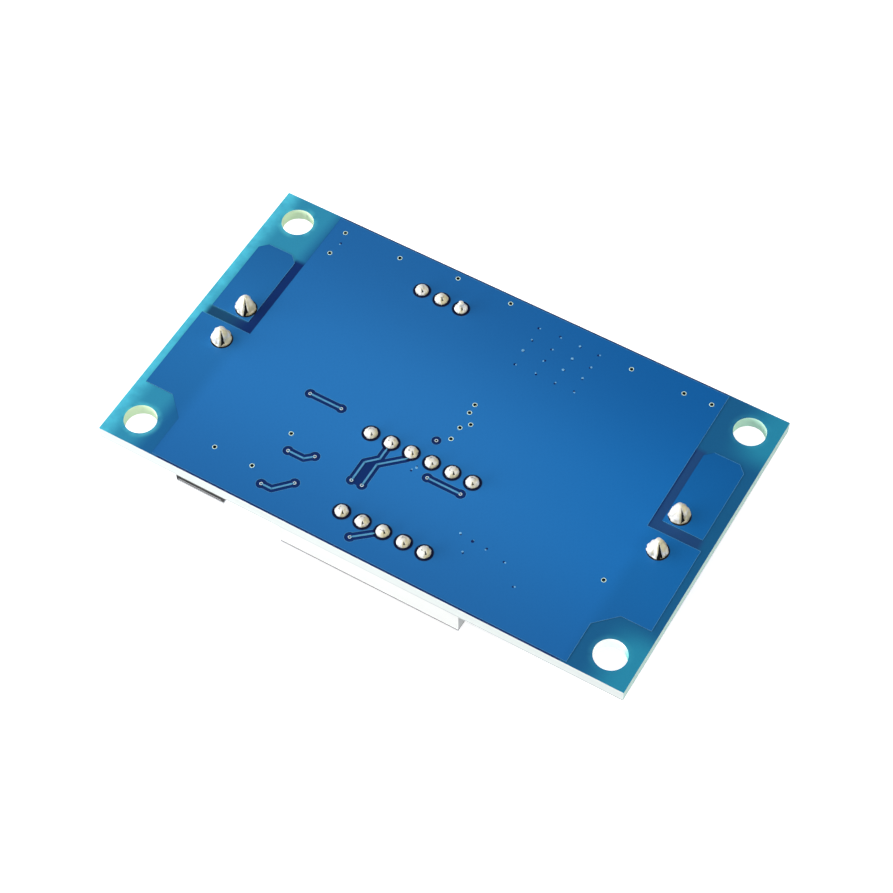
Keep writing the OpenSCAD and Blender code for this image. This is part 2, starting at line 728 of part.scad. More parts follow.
// A bar of a digit, with a point at each end, slanted as the digit is
function slanted(p) = [p[0] + p[1] * tan(digit_slant), p[1]];
function bar(x, y, length, upright) = [for (k = [[-1, 0], [-1, 1], [1, 1], [1, 0], [1, -1], [-1, -1]])
    let (half = length / 2 - (k[1] == 0 ? 0 : segment_w / 2),
        u = k[0] * half,
        v = k[1] * segment_w / 2)
    slanted(upright ? [x + v, y + u] : [x + u, y + v])];
bar_w = digit_w - segment_w - segment_gap;
bar_h = (digit_h - segment_w) / 2 - segment_gap;
half_digit_w = (digit_w - segment_w) / 2;
half_digit_h = (digit_h - segment_w) / 2;
digit_bars = concat([for (k = [-1, 0, 1]) bar(0, k * half_digit_h, bar_w, false)],
    [for (sx = [-1, 1]) for (sy = [-1, 1])
        bar(sx * half_digit_w, sy * half_digit_h / 2, bar_h, true)]);

module digit_outlines() {
    for (i = [-1:1]) translate([i * digit_pitch - 0.3, 0]) {
        for (b = digit_bars) polygon(b);
        translate([half_digit_w + 1.3, -digit_h / 2 + dot_d / 2]) circle(d = dot_d);
    }
}

module display_case() {
    plate_z = disp_h - disp_film_t - disp_plate_t;
    color("white") difference() {
        block([disp_l, disp_w, disp_h - disp_film_t]);
        block([disp_l - 2 * disp_wall, disp_w - 2 * disp_wall, plate_z + bite], 0, 0, -bite);
        translate([0, 0, plate_z - bite]) linear_extrude(disp_plate_t + 2 * bite) digit_outlines();
    }
}

module display_face() {
    color("dimgray") translate([0, 0, disp_h - disp_film_t]) linear_extrude(disp_film_t)
        difference() {
            square([disp_l, disp_w], center = true);
            digit_outlines();
        }
}

module display_segments() {
    color("whitesmoke") translate([0, 0, disp_h - disp_film_t - disp_plate_t])
        linear_extrude(disp_film_t + disp_plate_t) digit_outlines();
}

module display_resin() {
    recess = 0.4;
    depth = disp_h - disp_film_t - disp_plate_t - recess;
    color("ivory") difference() {
        block([disp_l - 2 * disp_wall, disp_w - 2 * disp_wall, depth], 0, 0, recess);
        for (p = disp_places) translate(display_place(p))
            block([disp_pin_w, disp_pin_w, disp_pin_sunk]);
    }
}

module display_pins() {
    low = -board_stack - small_pin_proud;
    color("silver") for (p = disp_places) translate(display_place(p))
        block([disp_pin_w, disp_pin_w, disp_pin_sunk - low], 0, 0, low);
}

// Regulator in a five-lead case with a soldered tab, drawn about its body's middle

module regulator_body() {
    color("dimgray") difference() {
        translate([0, 0, pad_t]) moulded_body(reg_l, reg_w, reg_h - pad_t, 0.35, reg_lead_rise,
            reg_lead_t);
        block([reg_l - 0.8, reg_w - 1, pad_t + reg_tab_t], 0, -1);
        translate([reg_l / 2 - 1.4, reg_w / 2 - 1.6, reg_h - 0.15]) cylinder(d = 1, h = bite);
    }
}

module regulator_tab() {
    ear = 1;
    tab_w = reg_l - 0.8;
    color("silver") {
        block([tab_w, reg_w - 1, reg_tab_t], 0, -1, pad_t);
        translate([0, -reg_w / 2 - reg_tab_out, pad_t]) linear_extrude(reg_tab_t)
            polygon([[ear - tab_w / 2, 0], [tab_w / 2 - ear, 0], [tab_w / 2, ear],
                [tab_w / 2, reg_tab_out - 0.5], [-tab_w / 2, reg_tab_out - 0.5], [-tab_w / 2, ear]]);
    }
}

module regulator_leads() {
    color("silver") translate([0, reg_w / 2, pad_t]) rotate([0, 0, 90])
        for (i = [-2:2]) gull_lead(reg_lead_w, reg_lead_t, reg_lead_rise, reg_lead_reach,
            reg_lead_foot, i * reg_lead_pitch);
}

// Shielded power inductor: a square ring round a wound core, on two clips

module inductor_shield() {
    cut = 1.6;
    half = coil_side / 2;
    color("dimgray") translate([0, 0, coil_lift]) difference() {
        linear_extrude(coil_h - coil_lift - 0.2) polygon([[cut - half, -half], [half - cut, -half],
            [half, cut - half], [half, half - cut], [half - cut, half], [cut - half, half],
            [-half, half - cut], [-half, cut - half]]);
        translate([0, 0, -bite]) cylinder(d = coil_bore_d, h = coil_h + 2 * bite);
    }
}

module inductor_core() {
    color("gray") translate([0, 0, coil_lift]) rotate_extrude() polygon([[0, 0],
        [coil_core_d / 2, 0], [coil_core_d / 2, coil_flange_t], [coil_post_d / 2, coil_flange_t],
        [coil_post_d / 2, coil_h - coil_lift - coil_flange_t],
        [coil_core_d / 2, coil_h - coil_lift - coil_flange_t],
        [coil_core_d / 2, coil_h - coil_lift - 0.2], [coil_core_d / 2 - 0.2, coil_h - coil_lift],
        [0, coil_h - coil_lift]]);
}

// The outer layer shows one round ridge for each turn
module inductor_winding() {
    inner = coil_post_d / 2 + fit_gap;
    outer = coil_core_d / 2 - 0.7 - coil_wire_d / 2;
    color("peru") translate([0, 0, coil_lift + coil_flange_t]) rotate_extrude() {
        translate([inner, pin_slack]) square([outer - inner, coil_turns * coil_wire_d - 2 * pin_slack]);
        for (i = [0:coil_turns - 1]) translate([outer, (i + 0.5) * coil_wire_d])
            circle(d = coil_wire_d - 2 * pin_slack);
    }
}

module inductor_clips() {
    color("silver") for (s = [-1, 1]) rotate([0, 0, s * 90 - 90]) {
        block([coil_clip_foot, coil_clip_w, coil_clip_t], (coil_side - coil_clip_foot) / 2, 0, pad_t);
        block([coil_clip_t, coil_clip_w, coil_clip_rise], (coil_side + coil_clip_t) / 2, 0, pad_t);
    }
}

module diode_body() {
    color("dimgray") translate([0, 0, pad_t + diode_lead_t])
        moulded_body(diode_l, diode_w, diode_h - diode_lead_t, 0.25, diode_split, diode_lead_t);
}

module diode_leads() {
    drop = pad_t + diode_lead_t + diode_split;
    color("silver") for (s = [-1, 1]) rotate([0, 0, s * 90 - 90]) along_y(diode_lead_w) polygon([
        [diode_l / 2, drop], [diode_l / 2, drop + diode_lead_t],
        [diode_l / 2 + 0.45, drop + diode_lead_t], [diode_l / 2 + 0.45, pad_t],
        [diode_l / 2 - 0.95, pad_t], [diode_l / 2 - 0.95, pad_t + diode_lead_t],
        [diode_l / 2 + 0.25, pad_t + diode_lead_t], [diode_l / 2 + 0.25, drop]]);
}

// Filter capacitor, with its leads along X

module capacitor_can() {
    r = cap_d / 2;
    crimp_mid = cap_base_h + cap_crimp_z;
    color("gainsboro") rotate_extrude() polygon([[0, cap_base_h - 0.3], [r - 0.3, cap_base_h - 0.3],
        [r, cap_base_h], [r, crimp_mid - cap_crimp], [r - cap_crimp, crimp_mid],
        [r, crimp_mid + cap_crimp], [r, cap_h - 0.5], [r - 0.15, cap_h - 0.15],
        [r - 0.5, cap_h], [0, cap_h]]);
}

module capacitor_base() {
    half = cap_base_side / 2;
    cut = 1.6;
    color("dimgray") difference() {
        translate([0, 0, pad_t + cap_lead_t]) linear_extrude(cap_base_h - pad_t - cap_lead_t)
            polygon([[cut - half, -half], [half, -half], [half, half], [cut - half, half],
                [-half, half - cut], [-half, cut - half]]);
        translate([0, 0, cap_base_h - 0.3]) cylinder(r = cap_d / 2 + fit_gap, h = bite);
    }
}

module capacitor_leads() {
    color("silver") for (s = [-1, 1])
        block([cap_base_side / 2 + cap_lead_out - 1, cap_lead_w, cap_lead_t],
            s * (cap_base_side / 2 + cap_lead_out + 1) / 2, 0, pad_t);
}

// Chips

module mcu_body() {
    color("dimgray") difference() {
        translate([0, 0, mcu_lift + pad_t]) moulded_body(mcu_l, mcu_w, mcu_h, 0.1, mcu_split, mcu_lead_t);
        translate([-mcu_l / 2 + 0.7, mcu_w / 2 - 0.7, mcu_lift + pad_t + mcu_h - 0.06])
            cylinder(d = 0.6, h = bite);
    }
}

module mcu_leads() {
    color("silver") for (s = [-1, 1]) rotate([0, 0, s * 90]) translate([mcu_w / 2, 0, pad_t])
        for (i = [0:mcu_pins_a_side - 1]) gull_lead(mcu_lead_w, mcu_lead_t,
            mcu_lift + mcu_split, mcu_lead_reach, mcu_lead_foot,
            (i - (mcu_pins_a_side - 1) / 2) * mcu_pitch);
}

module supply_body() {
    color("dimgray") translate([0, 0, pad_t + 0.4])
        drafted_block(supply_l, supply_w, supply_h - 0.4, 0.15);
}

module supply_leads() {
    color("silver") {
        for (i = [-1:1]) block([0.45, 1, 0.4], i * supply_pitch, supply_w / 2 + 0.4, pad_t);
        block([1.6, supply_w + 0.4, 0.4], 0, -0.3, pad_t);
    }
}

// Push button, drawn about its plunger

module button_case() {
    bore = plunger_flange_d + 2 * fit_gap;
    color("dimgray") {
        difference() {
            block([button_side, button_side, button_case_h - pad_t], 0, 0, pad_t);
            translate([0, 0, button_case_h - plunger_flange_t - plunger_travel - 0.05])
                cylinder(d = bore, h = button_h);
        }
        for (sx = [-1, 1]) for (sy = [-1, 1])
            translate([sx * (button_side / 2 - rivet_inset), sy * (button_side / 2 - rivet_inset),
                button_case_h]) {
                cylinder(d = rivet_d - 0.2, h = cover_t);
                translate([0, 0, cover_t]) cylinder(d = rivet_d + 0.2, h = 0.15);
            }
    }
}

module button_cover() {
    color("silver") difference() {
        block([button_side, button_side, cover_t], 0, 0, button_case_h);
        cylinder(d = plunger_d + 4 * fit_gap, h = button_h + bite);
        for (sx = [-1, 1]) for (sy = [-1, 1])
            translate([sx * (button_side / 2 - rivet_inset), sy * (button_side / 2 - rivet_inset), 0])
                cylinder(d = rivet_d, h = button_h + bite);
    }
}

module button_leads() {
    color("silver") for (sx = [0, 180]) rotate([0, 0, sx])
        for (sy = [-1, 1]) translate([button_side / 2, 0, pad_t])
            gull_lead(button_lead_w, button_lead_t, button_lead_rise, button_lead_reach,
                button_lead_foot, sy * button_lead_y);
}

module button_plunger() {
    flange_z = button_case_h - plunger_flange_t;
    color("black") {
        translate([0, 0, flange_z - 0.02]) cylinder(d = plunger_flange_d, h = plunger_flange_t);
        translate([0, 0, flange_z]) cylinder(d = plunger_d, h = button_h + plunger_proud - flange_z - 0.15);
        translate([0, 0, button_h + plunger_proud - 0.15])
            cylinder(d1 = plunger_d, d2 = plunger_d - 0.3, h = 0.15);
    }
}

// Small chip parts

module chip_middle(l, w, h) { block([l - 2 * chip_end, w, h], 0, 0, pad_t); }
module chip_ends_of(l, w, h) {
    for (s = [-1, 1]) block([chip_end, w, h], s * (l - chip_end) / 2, 0, pad_t);
}

module chip_resistors() {
    color("black") under_board_at(resistor_places) chip_middle(resistor_l, resistor_w, resistor_h);
}

module chip_capacitors() {
    color("tan") under_board_at(ceramic_places) chip_middle(ceramic_l, ceramic_w, ceramic_h);
}

module indicator_lamps() {
    color("lightyellow") under_board_at(lamp_places) {
        chip_middle(lamp_l, lamp_w, 0.3);
        translate([0, 0, pad_t + 0.3]) drafted_block(lamp_l - 2 * chip_end, lamp_w, lamp_h - 0.3, 0.12);
    }
}

module chip_ends() {
    color("silver") {
        under_board_at(resistor_places) chip_ends_of(resistor_l, resistor_w, resistor_h);
        under_board_at(ceramic_places) chip_ends_of(ceramic_l, ceramic_w, ceramic_h);
        under_board_at(lamp_places) chip_ends_of(lamp_l, lamp_w, 0.3);
    }
}

// Solder joints, standing on the solder face

// A cone with full flanks, which closes over the pin's end
function cone_edge(foot_r, tip_r, h) = [for (i = [0:joint_steps]) let (t = i / joint_steps)
    [tip_r + (foot_r - tip_r) * (1 - pow(t, 2.2)), h * t]];
// A rounded drop
function drop_edge(foot_r, tip_r, h) = [for (i = [0:joint_steps]) let (a = 78 * i / joint_steps)
    [tip_r + (foot_r - tip_r) * cos(a), h * sin(a) / sin(78)]];

module solder_on(places, edge) {
    color("silver") for (p = places) translate([p[0], p[1], solder_z])
        rotate_extrude() polygon(concat([[0, 0]], edge, [[0, edge[joint_steps][1]]]));
}

module square_pins(places, side) {
    for (p = places) translate([p[0], p[1], solder_z - bite]) block([side, side, 4]);
}

module terminal_solder() {
    difference() {
        solder_on(term_places, cone_edge(big_joint_d / 2, term_pin_tip_w / 2 + 0.1, big_joint_h));
        for (p = term_places) translate([p[0], p[1], solder_z - bite])
            pointed_pin(big_pin_proud + bite);
    }
}

module display_solder() {
    difference() {
        solder_on(disp_places, drop_edge(small_joint_d / 2, disp_pin_w * tip_share, small_joint_h));
        square_pins(disp_places, disp_pin_w);
    }
}

module trimmer_solder() {
    difference() {
        solder_on(trim_places, drop_edge(small_joint_d / 2, trim_pin_d * tip_share, small_joint_h));
        for (p = trim_places) translate([p[0], p[1], solder_z - bite])
            cylinder(d = trim_pin_d + 2 * pin_slack, h = 4);
    }
}

circuit_board();
component_pads();
at_input() terminal_housing();  // terminal_in_housing
at_output() terminal_housing();  // terminal_out_housing
at_input() both_frames();  // terminal_in_frames
at_output() both_frames();  // terminal_out_frames
at_input() at_pole(-1) wire_guard();  // terminal_in_guard_pos
at_input() at_pole(1) wire_guard();  // terminal_in_guard_neg
at_output() at_pole(1) wire_guard();  // terminal_out_guard_pos
at_output() at_pole(-1) wire_guard();  // terminal_out_guard_neg
at_input() at_pole(-1) clamp_screw();  // terminal_in_screw_pos
at_input() at_pole(1) clamp_screw();  // terminal_in_screw_neg
at_output() at_pole(1) clamp_screw();  // terminal_out_screw_pos
at_output() at_pole(-1) clamp_screw();  // terminal_out_screw_neg
at_trimmer() trimmer_housing();
at_trimmer() trimmer_potting();
at_trimmer() trimmer_pins();
at_trimmer() trimmer_screw();
at_display() display_case();
at_display() display_face();
at_display() display_segments();
at_display() display_resin();
at_display() display_pins();
at_regulator() regulator_body();
at_regulator() regulator_tab();
at_regulator() regulator_leads();
at_coil() inductor_shield();
at_coil() inductor_core();
at_coil() inductor_winding();
at_coil() inductor_clips();
under_board(diode_x, diode_y) diode_body();
under_board(diode_x, diode_y) diode_leads();
at_input_cap() capacitor_can();  // input_capacitor_can
at_input_cap() capacitor_base();  // input_capacitor_base
at_input_cap() capacitor_leads();  // input_capacitor_leads
at_output_cap() capacitor_can();  // output_capacitor_can
at_output_cap() capacitor_base();  // output_capacitor_base
at_output_cap() capacitor_leads();  // output_capacitor_leads
under_board(mcu_x, mcu_y) mcu_body();  // microcontroller_body
under_board(mcu_x, mcu_y) mcu_leads();  // microcontroller_leads
under_board(supply_x, supply_y) supply_body();  // supply_chip_body
under_board(supply_x, supply_y) supply_leads();  // supply_chip_leads
at_left_button() button_case();  // button_left_case
at_left_button() button_cover();  // button_left_cover
at_left_button() button_leads();  // button_left_leads
at_left_button() button_plunger();  // button_left_plunger
at_right_button() button_case();  // button_right_case
at_right_button() button_cover();  // button_right_cover
at_right_button() button_leads();  // button_right_leads
at_right_button() button_plunger();  // button_right_plunger
indicator_lamps();
chip_resistors();
chip_capacitors();
chip_ends();
terminal_solder();
display_solder();
trimmer_solder();
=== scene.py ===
"""Looks of an adjustable buck converter module, which lies solder side up on its screw terminals.

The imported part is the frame: its pieces keep their places and get their finishes here. Lengths are in
millimetres in every class below, and become metres when a mesh, a lamp or the camera is made.
"""
import json
import logging
import math
from dataclasses import dataclass
from enum import Enum
from functools import reduce
from typing import Optional, Sequence, Union

import bmesh
import bpy
from mathutils import Matrix, Vector, noise


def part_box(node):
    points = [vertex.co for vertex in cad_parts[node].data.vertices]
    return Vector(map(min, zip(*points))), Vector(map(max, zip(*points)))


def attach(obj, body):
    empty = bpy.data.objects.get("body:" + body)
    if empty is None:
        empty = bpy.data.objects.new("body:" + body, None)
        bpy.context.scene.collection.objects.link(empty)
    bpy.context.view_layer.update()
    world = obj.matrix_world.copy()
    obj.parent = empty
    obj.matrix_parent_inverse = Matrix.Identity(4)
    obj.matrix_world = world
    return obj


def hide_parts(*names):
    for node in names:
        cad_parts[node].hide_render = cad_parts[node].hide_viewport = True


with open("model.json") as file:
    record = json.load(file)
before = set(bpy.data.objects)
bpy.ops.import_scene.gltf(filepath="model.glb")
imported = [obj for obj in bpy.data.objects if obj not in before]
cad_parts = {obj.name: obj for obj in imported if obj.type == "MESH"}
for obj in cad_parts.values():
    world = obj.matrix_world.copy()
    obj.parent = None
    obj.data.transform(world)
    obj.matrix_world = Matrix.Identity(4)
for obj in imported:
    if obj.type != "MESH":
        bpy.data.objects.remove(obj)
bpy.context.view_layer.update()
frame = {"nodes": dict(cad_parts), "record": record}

LOG = logging.getLogger("buck_converter")
# Metres in one millimetre
MM = 0.001
# Corners closer than this are made one, in millimetres
MERGE = 1e-4
# What the camera and the lamps look at: x and y on the solder face, in millimetres
AIM = (1.582, -2.316)

Colour = tuple[float, float, float, float]
Socket = bpy.types.NodeSocket
Input = Union[float, Socket]
Place = tuple[float, float]
RingSize = tuple[float, float, float]


def srgb(red: int, green: int, blue: int) -> Colour:
    """Turns a display colour of 0 to 255 into the linear one that shaders take.

    Args:
        red: Red share, 0 to 255.
        green: Green share, 0 to 255.
        blue: Blue share, 0 to 255.

    Returns:
        The linear colour with full alpha.
    """
    def linear(value: int) -> float:
        """Undoes the display curve of one channel."""
        share = value / 255
        return share / 12.92 if share <= 0.04045 else ((share + 0.055) / 1.055) ** 2.4

    return linear(red), linear(green), linear(blue), 1.0


def tinted(colour: Colour, factor: float) -> Colour:
    """Makes a colour lighter or darker by a factor."""
    return colour[0] * factor, colour[1] * factor, colour[2] * factor, 1.0


class Recipe:
    """Builds the node tree of one material with short calls, on coordinates in millimetres."""

    def __init__(self, name: str) -> None:
        """Starts a material with a plain shader.

        Args:
            name: The material's name.
        """
        self.material = bpy.data.materials.new(name)
        self.material.use_nodes = True
        self.tree = self.material.node_tree
        self.shader = self.tree.nodes["Principled BSDF"]
        objects = self.node("ShaderNodeTexCoord").outputs["Object"]
        self.place = self.node("ShaderNodeMapping", {"Vector": objects, "Scale": (1 / MM,) * 3}).outputs[0]
        split = self.node("ShaderNodeSeparateXYZ", {"Vector": self.place})
        self.x, self.y, self.z = split.outputs
        facing = self.node("ShaderNodeNewGeometry").outputs["Normal"]
        self.facing = facing
        tilt = self.node("ShaderNodeSeparateXYZ", {"Vector": facing})
        self.facing_x, self.facing_y, self.facing_z = tilt.outputs

    def node(self, kind: str, inputs: Optional[dict] = None, **settings: object) -> bpy.types.Node:
        """Adds a node.

        Args:
            kind: The node's type.
            inputs: A value or a socket for each input that is set, by the input's name or number.
            settings: The node's own properties.

        Returns:
            The new node.
        """
        made = self.tree.nodes.new(kind)
        for key, value in settings.items():
            setattr(made, key, value)
        for key, value in (inputs or {}).items():
            self.feed(made.inputs[key], value)
        return made

    def feed(self, socket: Socket, value: object) -> None:
        """Links a socket to an input, or sets the input's own value.

        Args:
            socket: The input.
            value: A socket that feeds it, or the value that it gets.
        """
        if isinstance(value, bpy.types.NodeSocket):
            self.tree.links.new(value, socket)
        else:
            socket.default_value = value

    def dress(self, **inputs: object) -> None:
        """Sets inputs of the shader, with underscores for the spaces in their names."""
        for key, value in inputs.items():
            self.feed(self.shader.inputs[key.replace("_", " ")], value)

    def maths(self, operation: str, first: Input, second: Input = 0.0) -> Socket:
        """Adds a Math node and returns its result."""
        return self.node("ShaderNodeMath", {0: first, 1: second}, operation=operation).outputs[0]

    def times(self, first: Input, second: Input) -> Socket:
        """Multiplies two values."""
        return self.maths("MULTIPLY", first, second)

    def plus(self, first: Input, second: Input) -> Socket:
        """Adds two values."""
        return self.maths("ADD", first, second)

    def minus(self, first: Input, second: Input) -> Socket:
        """Takes the second value from the first."""
        return self.maths("SUBTRACT", first, second)

    def unsigned(self, value: Input) -> Socket:
        """Drops a value's sign."""
        return self.maths("ABSOLUTE", value)

    def distance(self, across: Input, along: Input) -> Socket:
        """Gives the distance that two offsets at right angles make."""
        return self.maths("SQRT", self.plus(self.times(across, across), self.times(along, along)))

    def step(self, value: Input, low: float, high: float, line: float = 0.0) -> Socket:
        """Rises smoothly from 0 to 1 as a value goes from low to high.

        Args:
            value: The value that is followed.
            low: Where the result is 0.
            high: Where the result is 1, which may be below low.
            line: The value that low and high are counted from.

        Returns:
            The smooth mask.
        """
        ends = {"Value": value, "From Min": line + low, "From Max": line + high}
        return self.node("ShaderNodeMapRange", ends, interpolation_type="SMOOTHSTEP",
                         clamp=True).outputs[0]

    def band(self, value: Input, low: float, high: float, soft: float) -> Socket:
        """Is 1 where a value lies between two others.

        Args:
            value: The value that is followed.
            low: Middle of the soft lower end.
            high: Middle of the soft upper end.
            soft: Half the width of each soft end.

        Returns:
            The mask.
        """
        rise = self.step(value, low - soft, low + soft)
        fall = self.step(value, high + soft, high - soft)
        return self.times(rise, fall)

    def any_of(self, *masks: Socket) -> Socket:
        """Joins masks, so that the result is 1 where any of them is."""
        return reduce(lambda first, second: self.maths("MAXIMUM", first, second), masks)

    def all_of(self, *masks: Socket) -> Socket:
        """Joins masks, so that the result is 1 where all of them are."""
        return reduce(self.times, masks)

    def mix(self, share: Input, first: object, second: object, blend: str = "MIX") -> Socket:
        """Mixes two colours.

        Args:
            share: Share of the second colour.
            first: The first colour.
            second: The second colour.
            blend: The node's way of blending.

        Returns:
            The mixed colour.
        """
        made = self.node("ShaderNodeMix", data_type="RGBA", blend_type=blend)
        for place, value in ((0, share), (6, first), (7, second)):
            self.feed(made.inputs[place], value)
        return made.outputs[2]

    def stretched(self, scale: Sequence[float], shift: float = 0.0) -> Socket:
        """Gives the place with each axis scaled by itself, for patterns that run one way."""
        return self.node("ShaderNodeMapping", {"Vector": self.place, "Location": (shift,) * 3,
                                               "Scale": tuple(scale)}).outputs[0]

    def noise(self, per_mm: float, detail: float = 2.0, rough: float = 0.5,
              along: Sequence[float] = (1, 1, 1), shift: float = 0.0) -> Socket:
        """Adds a noise pattern.

        Args:
            per_mm: Number of bumps in a millimetre.
            detail: Number of finer layers.
            rough: Share of the finer layers.
            along: Scale of each axis, for noise that is drawn out.
            shift: Moves the pattern, so that two of them differ.

        Returns:
            The noise, around 0.5.
        """
        return self.node("ShaderNodeTexNoise", {"Vector": self.stretched(along, shift), "Scale": per_mm,
                                                "Detail": detail, "Roughness": rough}).outputs[0]

    def bump(self, height: Socket, depth: float, strength: float = 1.0,
             base: Optional[Socket] = None) -> Socket:
        """Turns a height pattern into a normal.

        Args:
            height: The pattern, from 0 to 1.
            depth: What 1 stands for, in millimetres.
            strength: Share of the effect.
            base: A normal that this one is added to.

        Returns:
            The bumped normal.
        """
        inputs = {"Height": height, "Distance": depth * MM, "Strength": strength}
        if base is not None:
            inputs["Normal"] = base
        return self.node("ShaderNodeBump", inputs).outputs[0]


class Grain(Enum):
    """How a plain finish looks close up: its noise's finer layers, their share, and its scale along X.

    MOULDED is the fine even grain of a spark-eroded mould, DRAWN the streaks along X from rolling or
    drawing, SINTERED the sharp speckles of pressed powder, and WET the soft waves of a liquid that set.
    """

    MOULDED = (2, 0.5, 1)
    DRAWN = (3, 0.6, 0.06)
    SINTERED = (4, 0.75, 1)
    WET = (1, 0.3, 1)


@dataclass(frozen=True)
class Finish:
    """A finish of one colour with its grain, gloss and small differences.

    The slot is the record's material slot. Sizes are in millimetres, and shares run from 0 to 1. The
    roughness goes from its least share to that share and the spread together.
    """

    slot: str
    colour: Colour
    roughness: float
    metallic: float = 0.0
    grain: Grain = Grain.MOULDED
    per_mm: float = 9.0
    relief: float = 0.006
    mottle: float = 0.06
    specular: float = 0.5
    coat: float = 0.0
    coat_roughness: float = 0.1
    glow_through: float = 0.0
    glow_depth: float = 0.6
    rough_least: float = 0.82
    rough_spread: float = 0.35

    def pattern(self, recipe: Recipe) -> Socket:
        """Gives the grain's height pattern."""
        layers, rough, along_x = self.grain.value
        return recipe.noise(self.per_mm, layers, rough, along=(along_x, 1, 1))

    def base(self, recipe: Recipe) -> Socket:
        """Gives the colour with its slow differences.

        Args:
            recipe: The material.

        Returns:
            The colour.
        """
        slow = recipe.noise(0.35, 3, 0.55, shift=4.0)
        light = tinted(self.colour, 1 + self.mottle)
        dark = tinted(self.colour, 1 - self.mottle)
        return recipe.mix(recipe.step(slow, 0.3, 0.7), dark, light)

    def make(self) -> bpy.types.Material:
        """Makes the material.

        Returns:
            A material named after the slot.
        """
        recipe = Recipe(self.slot)
        height = self.pattern(recipe)
        spread = recipe.step(recipe.noise(1.3, 3, 0.6, shift=9.0), 0.25, 0.75)
        rough = recipe.plus(recipe.times(spread, self.roughness * self.rough_spread),
                            self.roughness * self.rough_least)
        recipe.dress(Base_Color=self.base(recipe), Roughness=rough, Metallic=self.metallic,
                     Specular_IOR_Level=self.specular, Coat_Weight=self.coat,
                     Coat_Roughness=self.coat_roughness, Normal=recipe.bump(height, self.relief))
        if self.glow_through:
            recipe.dress(Subsurface_Weight=self.glow_through, Subsurface_Scale=self.glow_depth * MM)
            recipe.shader.inputs["Subsurface Radius"].default_value = (1.0, 0.9, 0.8)
        return recipe.material


@dataclass(frozen=True)
class PinRow:
    """A row of through-hole pins on the solder face: how many, the first one's x, their y and pitch."""

    count: int
    first_x: float
    y: float
    pitch: float = 2.54
    soft: float = 0.05

    def places(self) -> list[Place]:
        """Gives the places of the pins."""
        return [(self.first_x + self.pitch * k, self.y) for k in range(self.count)]

    def nearness(self, recipe: Recipe, reach: float) -> Socket:
        """Is 1 within a reach of any pin of the row.

        Args:
            recipe: The material that asks.
            reach: The distance at which the mask ends, in millimetres.

        Returns:
            The mask.
        """
        share = recipe.maths("DIVIDE", recipe.minus(recipe.x, self.first_x), self.pitch)
        nearest = recipe.maths("MINIMUM", recipe.maths("MAXIMUM", recipe.maths("ROUND", share), 0.0),
                               self.count - 1.0)
        across = recipe.times(recipe.minus(share, nearest), self.pitch)
        away = recipe.distance(across, recipe.minus(recipe.y, self.y))
        return recipe.step(away, reach + self.soft, reach - self.soft)


DISPLAY_ROWS = (PinRow(6, -6.35, -4.96), PinRow(5, -3.81, -15.12))
TRIMMER_ROW = PinRow(3, -11.54, 14.65)


